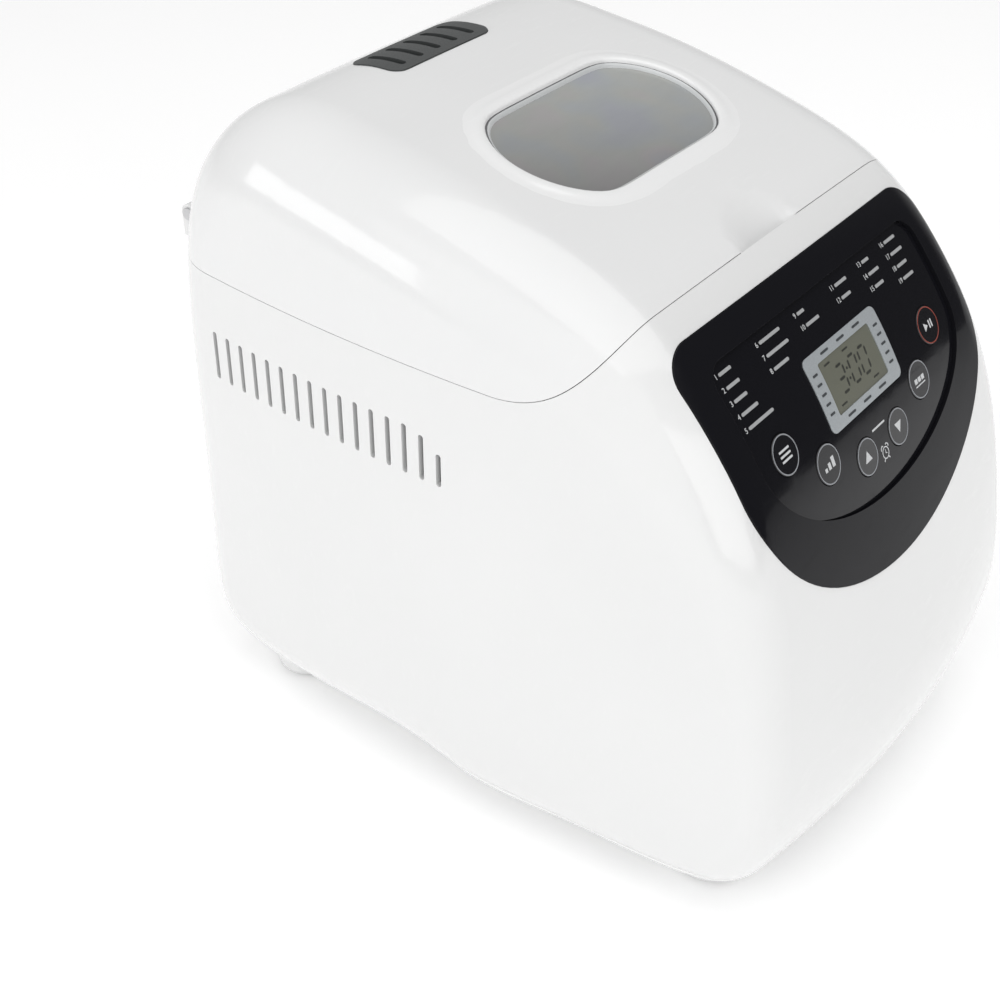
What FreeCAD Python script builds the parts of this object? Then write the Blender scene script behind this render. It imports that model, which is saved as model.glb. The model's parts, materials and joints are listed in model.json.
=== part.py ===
import FreeCAD, Part
import math
import os
from FreeCAD import Vector

# Bread machine, millimetres, +Z up. X runs across the front, -Y faces the user, z = 0 is the table.

# ---- driving dimensions: outer form -------------------------------------------------------------
SECTION = [                    # side view of the casing (y, z), round from the rear of the underside
    (0.0, 13.0), (70.0, 13.0), (128.0, 14.0), (148.0, 23.0), (155.5, 43.0), (156.5, 80.0),
    (156.5, 140.0), (155.5, 205.0), (147.0, 246.0), (124.0, 276.0), (92.0, 288.5), (58.0, 285.8),
    (33.6, 281.9), (-28.7, 266.3), (-77.1, 245.5), (-106.3, 215.7), (-123.1, 190.0), (-139.0, 153.0),
    (-153.1, 105.9), (-160.5, 65.0), (-157.0, 38.0), (-145.0, 20.0), (-124.0, 13.5), (-70.0, 13.0)]
SECTION_BREAKS = [0, 4, 7, 10, 14, 16, 19]       # points where the edge rounding changes size
EDGE_ROUNDING = [24.0, 30.0, 34.0, 40.0, 36.0, 28.0, 19.0]
ROUNDING_SHARE = 0.5           # an inner form's rounding is smaller by this share of its inset
WALL_HALF = 118.0              # half width of the casing at WALL_LEVEL
WALL_LEVEL = 127.0
WALL_FLARE = 0.0227            # the walls widen downward by this much per millimetre
WALL_BOW = 0.000553            # and bow outward in plan: x loses WALL_BOW * y * y
LOFT_HALF = 130.0              # half width of the blank that the walls are cut from
FRONT_BULGE = 0.00106          # the lower front falls back by this times x squared
BULGE_TOP, BULGE_FULL = 178.0, 50.0
TOP_CROWN = 0.00014            # the top falls by this times x squared
SHELL = 2.6
INNER = 3.0                    # inner face of the base and outer limit of what sits inside the casing
PROUD = 0.5                    # trims stand this far out of the casing
BASE_SEAM = 26.0               # height of the joint between the base and the casing
SEAM_GAP = 0.3

# ---- lid ------------------------------------------------------------------------------------------
LID_FRONT = -76.7
LID_LEVEL = 216.3
LID_ARC = 48.9
HINGE_Y, HINGE_Z = 161.0, 222.0
KNUCKLE_R, HINGE_PIN_R, PIN_CLEARANCE = 4.2, 1.6, 0.05
HINGE_CENTRES = (-66.0, 66.0)
KNUCKLE_HALF, EAR_WIDTH, KNUCKLE_GAP = 6.6, 7.0, 0.4
WINDOW_HALF, WINDOW_BULGE = 36.5, 56.0
WINDOW_FRONT, WINDOW_REAR = -28.0, 32.5
WINDOW_TRIM, WINDOW_GASKET, GLASS_SINK = 3.6, 0.9, 0.7
VENT_X = -5.0                  # the grille sits a little to one side
VENT_HALF_X, VENT_FRONT, VENT_REAR, VENT_R = 31.0, 77.0, 104.0, 6.0
VENT_SLOTS, VENT_SLOT_WIDTH, VENT_SLOT_PITCH = 5, 3.6, 11.0
SCOOP_R, SCOOP_WALL = 50.5, 2.2
SCOOP_TOP, SCOOP_END = (-56.8, 256.3), (-77.0, 238.2)

# ---- oven and pan ---------------------------------------------------------------------------------
PAN_Y = 36.0
CHAMBER = (92.0, 76.0, 18.0)   # half x, half y, corner radius, inside
CHAMBER_WALL = 0.8
CHAMBER_FLOOR, CHAMBER_TOP = 46.0, 213.1
MOUTH = (91.0, 75.0, 17.0)
DOME = (88.0, 72.0, 20.0)
DOME_TOP, LINER = 251.0, 1.2
PAN_TOP, PAN_BOTTOM = 178.0, 66.0
PAN_UPPER, PAN_LOWER = (76.0, 58.0, 17.0), (72.0, 54.0, 15.0)
PAN_WALL = 1.5
BAIL_X, BAIL_REACH, BAIL_Z, BAIL_R = 82.2, 66.0, 172.0, 2.0
BAIL_TIP = 76.8                  # inner end of each bail pin
ELEMENT = (84.0, 68.0, 14.0)
ELEMENT_Z, ELEMENT_R = 66.0, 3.2
ELEMENT_LEG_BEND = 4.6         # where the legs turn into the loop
TERMINAL_X = (-22.0, 22.0)
BUSH_REACH = 13.0
SENSOR_Z = 120.0

# ---- drive ----------------------------------------------------------------------------------------
MOTOR_Y = -92.0
PLATE_Z, PLATE_T = 36.0, 2.5
SHAFT_R = 4.0
PULLEY_Z, PULLEY_H = 24.0, 9.0
BIG_PULLEY_R, SMALL_PULLEY_R = 38.0, 9.5
BELT_T, BELT_H = 2.2, 6.0
MOTOR_R, MOTOR_TOP = 29.0, 98.0
SHAFT_FOOT = 21.6              # lower end of the drive shaft
POSTS = [(-37.0, -116.0), (37.0, -116.0), (-36.0, 62.0), (36.0, 62.0)]
POST_R, POST_LIFT = 5.0, 0.1
SCREW_R, SCREW_HEAD_R, NUT_R = 1.7, 3.6, 3.4

# ---- control panel --------------------------------------------------------------------------------
PANEL_Y, PANEL_Z, PANEL_TILT = -115.0, 203.0, 57.2      # centre of the display and slope in degrees
PANEL_TOP, PANEL_TOP_R = 47.6, 14.0
PANEL_HALF, PANEL_WAIST, PANEL_DROP = 91.0, -10.0, 67.7
RECESS_TOP, RECESS_TOP_R = 35.3, 9.0
RECESS_HALF, RECESS_WAIST, RECESS_DROP = 77.0, -5.0, 45.0
PANEL_RECESS, PANEL_DEPTH = 1.6, 4.2
FILM, BEZEL_T = 0.4, 0.5
BEZEL, DISPLAY = (28.0, 15.4, 3.0), (20.0, 10.8, 1.0)
BUTTONS = {                    # name: x, distance down the slope, cap radius
    "button_menu": (-58.8, 7.4, 7.9),
    "button_weight": (-37.0, 22.5, 7.9),
    "button_up": (-11.6, 32.2, 7.5),
    "button_down": (14.4, 31.8, 7.5),
    "button_colour": (38.5, 22.5, 7.9),
    "button_start": (58.0, 7.0, 7.9)}
BUTTON_GAP, BUTTON_LENGTH, BUTTON_PROUD = 0.35, 6.0, 0.3
SWITCH_DEPTH = 10.7            # top of a switch's stem below the surface, clear of its pressed key
BOARD_DEPTH, BOARD_T = 16.0, 1.6
BOARD_HALF_X, BOARD_UP, BOARD_DOWN = 70.0, 28.0, 42.0

# ---- side slots, feet -----------------------------------------------------------------------------
SLOT_COUNT, SLOT_FIRST_Y, SLOT_PITCH, SLOT_WIDTH = 16, 122.0, 8.4, 2.4
SLOT_BOTTOM, SLOT_TOP = 168.0, 190.0
SLOT_STEPS = {14: 2.0, 15: 7.5}                  # the front slots start lower
FOOT_PLACES = [(-78.0, -112.0), (78.0, -112.0), (-82.0, 112.0), (82.0, 112.0)]
FOOT_TOP_R, FOOT_R, FOOT_TOP_Z = 21.0, 15.0, 27.0
PAD_R, PAD_T = 11.5, 2.2
GLAND_X, GLAND_Z, GLAND_BORE = 72.0, 56.0, 3.6

# the hinge knuckles stand out at the rear, so the whole model moves forward by half of that
CENTRE_SHIFT = -(HINGE_Y + KNUCKLE_R - 160.5) / 2

OUT = "parts"
DOC = FreeCAD.newDocument("bread_machine")
HULLS = {}


def smooth_step(value):
    t = min(max(value, 0.0), 1.0)
    return t * t * (3.0 - 2.0 * t)


def section_curve(points):
    curve = Part.BSplineCurve()
    curve.interpolate(Points=points, PeriodicFlag=True)
    return curve


def inset_section(inset):
    """Side view points moved inward along the outline's own normals."""
    points = [Vector(0, y, z) for y, z in SECTION]
    curve = section_curve(points)
    moved = []
    for p in points:
        tangent = curve.tangent(curve.parameter(p))[0]
        inward = Vector(0, -tangent.z, tangent.y)
        moved.append(p + inward * inset)
    return moved


def section_wire(x, points):
    """The side view at one x, with the bulged front and the crowned top."""
    placed = []
    for p in points:
        low = smooth_step((BULGE_TOP - p.z) / (BULGE_TOP - BULGE_FULL)) * smooth_step((-p.y - 40.0) / 60.0)
        high = smooth_step((p.z - 150.0) / 100.0)
        placed.append(Vector(x, p.y + FRONT_BULGE * low * x * x, p.z - TOP_CROWN * high * x * x))
    curve = section_curve(placed)
    marks = [curve.parameter(placed[i]) for i in SECTION_BREAKS[1:]]
    marks = [curve.FirstParameter] + marks + [curve.LastParameter]
    return Part.Wire([curve.toShape(a, b) for a, b in zip(marks, marks[1:])])


def wall_wire(z, inset):
    """Plan outline between the two bowed side walls at one height."""
    half = WALL_HALF + WALL_FLARE * (WALL_LEVEL - z) - inset
    reach = 190.0
    end = half - WALL_BOW * reach * reach
    right = Part.Arc(Vector(end, reach, z), Vector(half, 0, z), Vector(end, -reach, z)).toShape()
    front = Part.makeLine(Vector(end, -reach, z), Vector(-end, -reach, z))
    left = Part.Arc(Vector(-end, -reach, z), Vector(-half, 0, z), Vector(-end, reach, z)).toShape()
    rear = Part.makeLine(Vector(-end, reach, z), Vector(end, reach, z))
    return Part.Wire([right, front, left, rear])


def rounding_at(point, inset, marks):
    nearest = min(range(len(marks)), key=lambda i: (marks[i] - point).Length)
    return EDGE_ROUNDING[nearest] - inset * ROUNDING_SHARE


def hull(inset):
    """The solid form of the whole casing, moved inward by inset; each size is built once."""
    if inset in HULLS:
        return HULLS[inset]
    points = inset_section(inset)
    sections = [section_wire(x, points) for x in (-LOFT_HALF, -LOFT_HALF / 2, 0, LOFT_HALF / 2, LOFT_HALF)]
    blank = Part.makeLoft(sections, True, False)
    walls = Part.makeLoft([wall_wire(-10, inset), wall_wire(320, inset)], True, True)
    body = blank.common(walls)
    marks = [Vector(0, points[i].y, points[i].z) for i in SECTION_BREAKS]
    chosen = []
    for index, edge in enumerate(body.Edges):
        box = edge.BoundBox
        if box.XLength > 60.0:
            continue
        ends = [Vector(0, v.Y, v.Z) for v in (edge.firstVertex(), edge.lastVertex())]
        radii = [rounding_at(end, inset, marks) for end in ends]
        chosen.append((index + 1, radii[0], radii[1]))
    base = DOC.addObject("Part::Feature", "blank")
    base.Shape = body
    rounded = DOC.addObject("Part::Fillet", "rounded")
    rounded.Base = base
    rounded.Edges = chosen
    DOC.recompute()
    shape = rounded.Shape.copy()
    if shape.isNull() or not shape.isValid():
        raise RuntimeError("the casing form at inset %.2f did not build" % inset)
    HULLS[inset] = shape.Solids[0]
    return HULLS[inset]


def skin(outer, inner):
    return hull(outer).cut(hull(inner))


# ---- small geometry helpers -----------------------------------------------------------------------
def box(x0, x1, y0, y1, z0, z1):
    return Part.makeBox(x1 - x0, y1 - y0, z1 - z0, Vector(x0, y0, z0))


def cylinder(radius, base, direction, length):
    return Part.makeCylinder(radius, length, base, direction)


def upright(radius, x, y, z0, z1):
    return cylinder(radius, Vector(x, y, z0), Vector(0, 0, 1), z1 - z0)


def along_x(radius, x0, x1, y, z):
    return cylinder(radius, Vector(x0, y, z), Vector(1, 0, 0), x1 - x0)


def rounded_wire(half_x, half_y, radius, x, y, z):
    """Rounded rectangle in a level plane."""
    k = radius * (1 - math.sqrt(0.5))
    edges = []
    corners = [(1, 1), (-1, 1), (-1, -1), (1, -1)]
    for i, (sx, sy) in enumerate(corners):
        if sx * sy > 0:
            start = Vector(x + sx * half_x, y + sy * (half_y - radius), z)
            end = Vector(x + sx * (half_x - radius), y + sy * half_y, z)
        else:
            start = Vector(x + sx * (half_x - radius), y + sy * half_y, z)
            end = Vector(x + sx * half_x, y + sy * (half_y - radius), z)
        middle = Vector(x + sx * (half_x - k), y + sy * (half_y - k), z)
        edges.append((start, middle, end))
    wire = []
    for i, (start, middle, end) in enumerate(edges):
        wire.append(Part.Arc(start, middle, end).toShape())
        wire.append(Part.makeLine(end, edges[(i + 1) % 4][0]))
    return Part.Wire(wire)


def rounded_block(size, x, y, z0, z1, grow=0.0):
    half_x, half_y, radius = size
    wire = rounded_wire(half_x + grow, half_y + grow, max(radius + grow, 0.5), x, y, z0)
    return Part.Face(wire).extrude(Vector(0, 0, z1 - z0))


def tapered_block(lower, upper, x, y, z0, z1):
    return Part.makeLoft([rounded_wire(*lower, x, y, z0), rounded_wire(*upper, x, y, z1)], True, True)


def group(shapes):
    """Separate solids of one repeated piece."""
    solids = []
    for shape in shapes:
        solids.extend(shape.Solids)
    return Part.makeCompound(solids)


def save(name, shape):
    placed = shape.copy()
    placed.translate(Vector(0, CENTRE_SHIFT, 0))
    solids = placed.Solids
    if not solids:
        raise RuntimeError("no solid in " + name)
    result = solids[0] if len(solids) == 1 else Part.makeCompound(solids)
    if not result.isValid():
        raise RuntimeError("not valid: " + name)
    result.exportStep(os.path.join(OUT, name + ".step"))
    bounds = result.BoundBox
    print("%-22s %2d solids %10.0f mm3  x %.1f..%.1f y %.1f..%.1f z %.1f..%.1f" % (
        name, len(solids), result.Volume, bounds.XMin, bounds.XMax, bounds.YMin, bounds.YMax,
        bounds.ZMin, bounds.ZMax))


# ---- the surface between lid and casing -----------------------------------------------------------
def lid_zone(raise_by):
    """Everything above the lid joint, the joint moved into the lid by raise_by."""
    centre_y, centre_z = LID_FRONT + LID_ARC, LID_LEVEL + LID_ARC
    radius = LID_ARC - raise_by
    turn = radius * math.sqrt(0.5)
    a = Vector(-150, centre_y - radius, 330)
    b = Vector(-150, centre_y - radius, centre_z)
    m = Vector(-150, centre_y - turn, centre_z - turn)
    c = Vector(-150, centre_y, centre_z - radius)
    d = Vector(-150, 200, centre_z - radius)
    e = Vector(-150, 200, 330)
    wire = Part.Wire([Part.makeLine(a, b), Part.Arc(b, m, c).toShape(), Part.makeLine(c, d),
                      Part.makeLine(d, e), Part.makeLine(e, a)])
    return Part.Face(wire).extrude(Vector(300, 0, 0))


def window_prism(grow):
    """Upright prism through the window: straight front and rear, sides bowed outward."""
    half = WINDOW_HALF + grow * 0.6
    front, rear = WINDOW_FRONT - grow, WINDOW_REAR + grow
    middle = (front + rear) / 2
    bulge = WINDOW_BULGE + grow
    z = 200.0
    corners = [Vector(half, front, z), Vector(half, rear, z), Vector(-half, rear, z), Vector(-half, front, z)]
    wire = Part.Wire([
        Part.Arc(corners[0], Vector(bulge, middle, z), corners[1]).toShape(),
        Part.makeLine(corners[1], corners[2]),
        Part.Arc(corners[2], Vector(-bulge, middle, z), corners[3]).toShape(),
        Part.makeLine(corners[3], corners[0])])
    prism = Part.Face(wire).extrude(Vector(0, 0, 120))
    uprights = [e for e in prism.Edges if abs(e.BoundBox.ZLength - 120) < 0.01 and e.BoundBox.XLength < 0.01]
    return prism.makeFillet(5.0 + grow, uprights)


def vent_prism(grow):
    middle = (VENT_FRONT + VENT_REAR) / 2
    half_y = (VENT_REAR - VENT_FRONT) / 2
    return rounded_block((VENT_HALF_X, half_y, VENT_R), VENT_X, middle, 200.0, 320.0, grow)


# ---- the control panel's own plane ----------------------------------------------------------------
def panel_axes():
    tilt = math.radians(PANEL_TILT)
    down = Vector(0, -math.cos(tilt), -math.sin(tilt))
    normal = Vector(0, -math.sin(tilt), math.cos(tilt))
    return Vector(0, PANEL_Y, PANEL_Z), down, normal


def panel_point(x, down_by, out=0.0):
    origin, down, normal = panel_axes()
    return origin + Vector(x, 0, 0) + down * down_by + normal * out


def panel_prism(wire_points, start=-70.0, depth=110.0):
    """Prism square to the panel from an outline whose items are points or arcs of three points."""
    normal = panel_axes()[2]
    edges = []
    for item in wire_points:
        placed = [panel_point(x, w, start) for x, w in item]
        if len(placed) == 2:
            edges.append(Part.makeLine(placed[0], placed[1]))
        else:
            edges.append(Part.Arc(placed[0], placed[1], placed[2]).toShape())
    return Part.Face(Part.Wire(edges)).extrude(normal * depth)


def shield_prism(top, top_r, half, waist, drop, grow=0.0):
    """Straight top with round corners, upright sides, and a half ellipse below the waist."""
    top_w = -(top + grow)
    side = half + grow
    low = drop + grow
    r = top_r + grow
    k = r * (1 - math.sqrt(0.5))
    level = -waist
    origin, down, normal = panel_axes()
    start = -70.0
    centre = panel_point(0, level, start)
    ellipse = Part.Ellipse(panel_point(side, level, start), panel_point(0, level + low, start), centre)
    right, left = panel_point(side, level, start), panel_point(-side, level, start)
    a, b = ellipse.parameter(right), ellipse.parameter(left)
    bottom = panel_point(0, level + low, start)
    curve = Part.ArcOfEllipse(ellipse, a, b)
    middle = curve.value((curve.FirstParameter + curve.LastParameter) / 2)
    if (middle - bottom).Length > 1.0:
        curve = Part.ArcOfEllipse(ellipse, b, a)
    edges = [
        curve.toShape(),
        Part.makeLine(left, panel_point(-side, top_w + r, start)),
        Part.Arc(panel_point(-side, top_w + r, start), panel_point(-side + k, top_w + k, start),
                 panel_point(-side + r, top_w, start)).toShape(),
        Part.makeLine(panel_point(-side + r, top_w, start), panel_point(side - r, top_w, start)),
        Part.Arc(panel_point(side - r, top_w, start), panel_point(side - k, top_w + k, start),
                 panel_point(side, top_w + r, start)).toShape(),
        Part.makeLine(panel_point(side, top_w + r, start), right)]
    return Part.Face(Part.Wire(Part.__sortEdges__(edges))).extrude(normal * 110.0)


def panel_rect(size, grow=0.0):
    half_x, half_w, r = size[0] + grow, size[1] + grow, size[2] + max(grow, 0.0)
    k = r * (1 - math.sqrt(0.5))
    return panel_prism([
        [(half_x - r, -half_w), (half_x - k, -half_w + k), (half_x, -half_w + r)],
        [(half_x, -half_w + r), (half_x, half_w - r)],
        [(half_x, half_w - r), (half_x - k, half_w - k), (half_x - r, half_w)],
        [(half_x - r, half_w), (-half_x + r, half_w)],
        [(-half_x + r, half_w), (-half_x + k, half_w - k), (-half_x, half_w - r)],
        [(-half_x, half_w - r), (-half_x, -half_w + r)],
        [(-half_x, -half_w + r), (-half_x + k, -half_w + k), (-half_x + r, -half_w)],
        [(-half_x + r, -half_w), (half_x - r, -half_w)]])


def surface_frame(x, down_by):
    """Point of the casing's surface under a place on the panel, and its outward normal."""
    curve = section_curve([Vector(0, y, z) for y, z in SECTION])
    origin, down, normal = panel_axes()
    line = Part.makeLine(panel_point(0, down_by, -60.0), panel_point(0, down_by, 60.0))
    contact = curve.toShape().distToShape(line)[1][0][0]
    tangent = curve.tangent(curve.parameter(contact))[0]
    outward = Vector(0, tangent.z, -tangent.y)
    return Vector(x, contact.y, contact.z - TOP_CROWN * x * x * 0.4), outward


def shield(grow=0.0):
    return shield_prism(PANEL_TOP, PANEL_TOP_R, PANEL_HALF, PANEL_WAIST, PANEL_DROP, grow)


def recess(grow=0.0):
    return shield_prism(RECESS_TOP, RECESS_TOP_R, RECESS_HALF, RECESS_WAIST, RECESS_DROP, grow)


# ---- casing ---------------------------------------------------------------------------------------
def side_slots():
    slots = []
    for i in range(SLOT_COUNT):
        y = SLOT_FIRST_Y - i * SLOT_PITCH
        top = SLOT_TOP - SLOT_STEPS.get(i, 0.0)
        r = SLOT_WIDTH / 2
        for side in (-1, 1):
            x0, x1 = sorted((side * 98.0, side * 126.0))
            slot = box(x0, x1, y - r, y + r, SLOT_BOTTOM + r, top - r)
            slot = slot.fuse(along_x(r, x0, x1, y, SLOT_BOTTOM + r))
            slots.append(slot.fuse(along_x(r, x0, x1, y, top - r)))
    return Part.makeCompound(slots)


def make_body_shell():
    upper = box(-150, 150, -200, 200, BASE_SEAM + SEAM_GAP / 2, 330)
    shell = skin(0.0, SHELL).common(upper).cut(lid_zone(-SEAM_GAP / 2))
    shell = shell.cut(shield(0.2))
    shell = shell.cut(side_slots())
    return shell.cut(cylinder(7.2, Vector(GLAND_X, 140, GLAND_Z), Vector(0, 1, 0), 30))


def make_base_tray():
    low = box(-150, 150, -200, 200, -5, BASE_SEAM - SEAM_GAP / 2)
    tray = hull(0.0).common(low)
    for x, y in FOOT_PLACES:
        cone = Part.makeCone(FOOT_R, FOOT_TOP_R, FOOT_TOP_Z - PAD_T, Vector(x, y, PAD_T), Vector(0, 0, 1))
        tray = tray.fuse(cone.common(hull(0.0).fuse(box(-140, 140, -150, 150, -5, 20))))
    tray = tray.common(low).cut(hull(INNER))
    for x, y in POSTS:
        tray = tray.cut(upright(SCREW_R + 0.1, x, y, 5, 30))
        tray = tray.cut(upright(SCREW_HEAD_R + 0.3, x, y, 5, 14.6))
    return tray.removeSplitter()


def make_foot_pads():
    return group([upright(PAD_R, x, y, 0, PAD_T) for x, y in FOOT_PLACES])


def make_top_deck():
    sheet = lid_zone(-SHELL - SEAM_GAP / 2).cut(lid_zone(-SEAM_GAP / 2)).common(hull(INNER))
    return sheet.cut(rounded_block(MOUTH, 0, PAN_Y, 190, 260))


# ---- lid ------------------------------------------------------------------------------------------
def scoop(radius_change):
    """Finger scoop cutter: a cylinder lying along the scoop's floor."""
    top, end = Vector(0, *SCOOP_TOP), Vector(0, *SCOOP_END)
    along = (end - top).normalize()
    up = Vector(0, -along.z, along.y)
    if up.z < 0:
        up = up * -1
    start = top - along * 60 + up * SCOOP_R
    return cylinder(SCOOP_R + radius_change, start, along, 160)


def lid_screw_places():
    return [(sx * 99.5, y) for sx in (-1, 1) for y in (-5.0, 85.0)]


def make_lid_shell():
    zone = lid_zone(SEAM_GAP / 2)
    lid = skin(0.0, SHELL)
    floor = scoop(SCOOP_WALL).common(hull(0.0)).common(box(-40, 40, -90, -40, 225, 300))
    lid = lid.fuse(floor).common(zone).cut(scoop(0.0))
    for x, y in lid_screw_places():
        post = upright(3.6, x, y, LID_LEVEL + 2.5, 290).common(hull(PANEL_RECESS))
        lid = lid.fuse(post).cut(upright(1.3, x, y, 200, LID_LEVEL + 16))
    lid = lid.cut(window_prism(WINDOW_TRIM)).cut(vent_prism(0.2))
    for centre in HINGE_CENTRES:
        left, right = centre - KNUCKLE_HALF, centre + KNUCKLE_HALF
        barrel = along_x(KNUCKLE_R, left, right, HINGE_Y, HINGE_Z)
        arm = box(left, right, 152.5, HINGE_Y, HINGE_Z - 2.4, HINGE_Z + KNUCKLE_R)
        arm = arm.cut(hull(SHELL))
        lid = lid.fuse(barrel).fuse(arm)
        lid = lid.cut(along_x(HINGE_PIN_R + PIN_CLEARANCE, centre - 20, centre + 20, HINGE_Y, HINGE_Z))
    return lid.removeSplitter()


def make_window_trim():
    ring = skin(-PROUD, INNER).common(window_prism(WINDOW_TRIM - 0.1))
    return ring.cut(window_prism(0.0))


def make_window_gasket():
    return skin(0.0, INNER).common(window_prism(-0.05)).cut(window_prism(-WINDOW_GASKET))


def make_window_glass():
    return skin(GLASS_SINK, INNER).common(window_prism(-WINDOW_GASKET - 0.05))


def make_vent_grille():
    grille = skin(-PROUD, INNER).common(vent_prism(0.0))
    middle = (VENT_FRONT + VENT_REAR) / 2
    for i in range(VENT_SLOTS):
        x = VENT_X + (i - (VENT_SLOTS - 1) / 2) * VENT_SLOT_PITCH
        grille = grille.cut(rounded_block((VENT_SLOT_WIDTH / 2, 9.6, 1.7), x, middle, 200, 320))
    return grille


def make_lid_liner():
    sheet = lid_zone(SEAM_GAP / 2 + 0.9).cut(lid_zone(SEAM_GAP / 2 + 0.9 + LINER)).common(hull(INNER))
    dome = rounded_block(DOME, 0, PAN_Y, 205, DOME_TOP).common(lid_zone(SEAM_GAP / 2 + 0.9))
    liner = sheet.fuse(dome).cut(rounded_block(DOME, 0, PAN_Y, 200, DOME_TOP - LINER, -LINER))
    liner = liner.cut(window_prism(-2.0)).cut(scoop(SCOOP_WALL + 0.3))
    for x, y in lid_screw_places():
        liner = liner.cut(upright(1.6, x, y, 200, 230))
    return liner.removeSplitter()


def make_liner_glass():
    pane = rounded_block((60.0, 34.0, 10.0), 0, 3.0, DOME_TOP + 0.1, DOME_TOP + 2.6)
    return pane


def make_lid_seal():
    ring = rounded_block((95.8, 79.8, 24.8), 0, PAN_Y, 200, 260).cut(rounded_block(MOUTH, 0, PAN_Y, 190, 270))
    return lid_zone(SEAM_GAP / 2 + 0.15).cut(lid_zone(SEAM_GAP / 2 + 0.8)).common(ring)


def make_lid_screws():
    screws = []
    for x, y in lid_screw_places():
        head = upright(3.0, x, y, LID_LEVEL + 0.3, LID_LEVEL + 1.0)
        screws.append(head.fuse(upright(1.25, x, y, LID_LEVEL + 0.3, LID_LEVEL + 14)))
    return group(screws)


def make_hinge_brackets():
    brackets = []
    for centre in HINGE_CENTRES:
        inner = KNUCKLE_HALF + KNUCKLE_GAP
        outer = inner + EAR_WIDTH
        strap_top = HINGE_Z - KNUCKLE_R - 1.3
        bracket = box(centre - outer, centre + outer, 157.0, 159.5, 190, strap_top)
        for x0, x1 in ((centre - outer, centre - inner), (centre + inner, centre + outer)):
            bracket = bracket.fuse(box(x0, x1, 157.0, HINGE_Y + KNUCKLE_R, HINGE_Z - 11, HINGE_Z))
            bracket = bracket.fuse(along_x(KNUCKLE_R, x0, x1, HINGE_Y, HINGE_Z))
        bore = along_x(HINGE_PIN_R + PIN_CLEARANCE, centre - 30, centre + 30, HINGE_Y, HINGE_Z)
        brackets.append(bracket.cut(bore).removeSplitter())
    return group(brackets)


def make_hinge_pins():
    pins = []
    for centre in HINGE_CENTRES:
        half = KNUCKLE_HALF + KNUCKLE_GAP + EAR_WIDTH
        pin = along_x(HINGE_PIN_R, centre - half - 0.3, centre + half + 0.3, HINGE_Y, HINGE_Z)
        for x in (centre - half - 1.3, centre + half + 0.1):
            pin = pin.fuse(along_x(2.7, x, x + 1.2, HINGE_Y, HINGE_Z))
        pins.append(pin)
    return group(pins)


# ---- control panel --------------------------------------------------------------------------------
def button_axis(name):
    x, down_by, radius = BUTTONS[name]
    point, outward = surface_frame(x, down_by)
    return point - outward * PANEL_RECESS, outward, radius


def button_holes():
    holes = []
    for name in BUTTONS:
        point, outward, radius = button_axis(name)
        holes.append(cylinder(radius + BUTTON_GAP, point - outward * 8, outward, 20))
    return Part.makeCompound(holes)


def make_panel_frame():
    rim = skin(-PROUD, PANEL_DEPTH).common(shield().cut(recess()))
    floor = skin(PANEL_RECESS, PANEL_DEPTH).common(recess(0.2))
    frame = rim.fuse(floor).cut(button_holes()).cut(panel_rect(DISPLAY, 0.3))
    return frame.removeSplitter()


def make_panel_film():
    film = skin(PANEL_RECESS - FILM, PANEL_RECESS).common(recess(-0.3))
    return film.cut(button_holes()).cut(panel_rect(DISPLAY, 0.3))


def make_display_bezel():
    bezel = skin(PANEL_RECESS - FILM - BEZEL_T, PANEL_RECESS - FILM)
    return bezel.common(panel_rect(BEZEL)).cut(panel_rect(DISPLAY))


def make_display():
    return skin(PANEL_RECESS - FILM, PANEL_DEPTH).common(panel_rect(DISPLAY))


def make_button(name):
    point, outward, radius = button_axis(name)
    cap = cylinder(radius, point + outward * (FILM + BUTTON_PROUD - BUTTON_LENGTH), outward, BUTTON_LENGTH)
    flange = cylinder(radius - 3.0, point - outward * 9.0, outward, 5.0)
    return cap.fuse(flange).removeSplitter()


def make_switches():
    """One small push switch on the board under each button."""
    switches = []
    normal = panel_axes()[2]
    for name in BUTTONS:
        foot = panel_point(*BUTTONS[name][:2])
        point, outward = button_axis(name)[:2]
        base = foot - normal * (BOARD_DEPTH - 0.05)
        stem_end = point - outward * SWITCH_DEPTH
        reach = (stem_end - base).dot(normal)
        body = cylinder(4.0, base, normal, min(3.0, max(reach - 1.0, 1.0)))
        switches.append(body.fuse(cylinder(1.8, base, normal, reach)))
    return group(switches)


def make_control_board():
    plate = panel_prism([
        [(-BOARD_HALF_X, -BOARD_UP), (BOARD_HALF_X, -BOARD_UP)],
        [(BOARD_HALF_X, -BOARD_UP), (BOARD_HALF_X, BOARD_DOWN)],
        [(BOARD_HALF_X, BOARD_DOWN), (-BOARD_HALF_X, BOARD_DOWN)],
        [(-BOARD_HALF_X, BOARD_DOWN), (-BOARD_HALF_X, -BOARD_UP)]],
        -BOARD_DEPTH - BOARD_T, BOARD_T)
    normal = panel_axes()[2]
    for x, w in standoff_places():
        plate = plate.cut(cylinder(1.6, panel_point(x, w, -BOARD_DEPTH - 5), normal, 10))
    return plate


def standoff_places():
    return [(sx * (BOARD_HALF_X - 4), w) for sx in (-1, 1) for w in (-BOARD_UP + 4, 22.0)]


def make_standoffs():
    normal = panel_axes()[2]
    posts = []
    for x, w in standoff_places():
        post = cylinder(3.0, panel_point(x, w, -BOARD_DEPTH), normal, 40).common(hull(PANEL_DEPTH))
        posts.append(post.cut(cylinder(1.3, panel_point(x, w, -BOARD_DEPTH - 1), normal, 8)))
    return group(posts)


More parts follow.
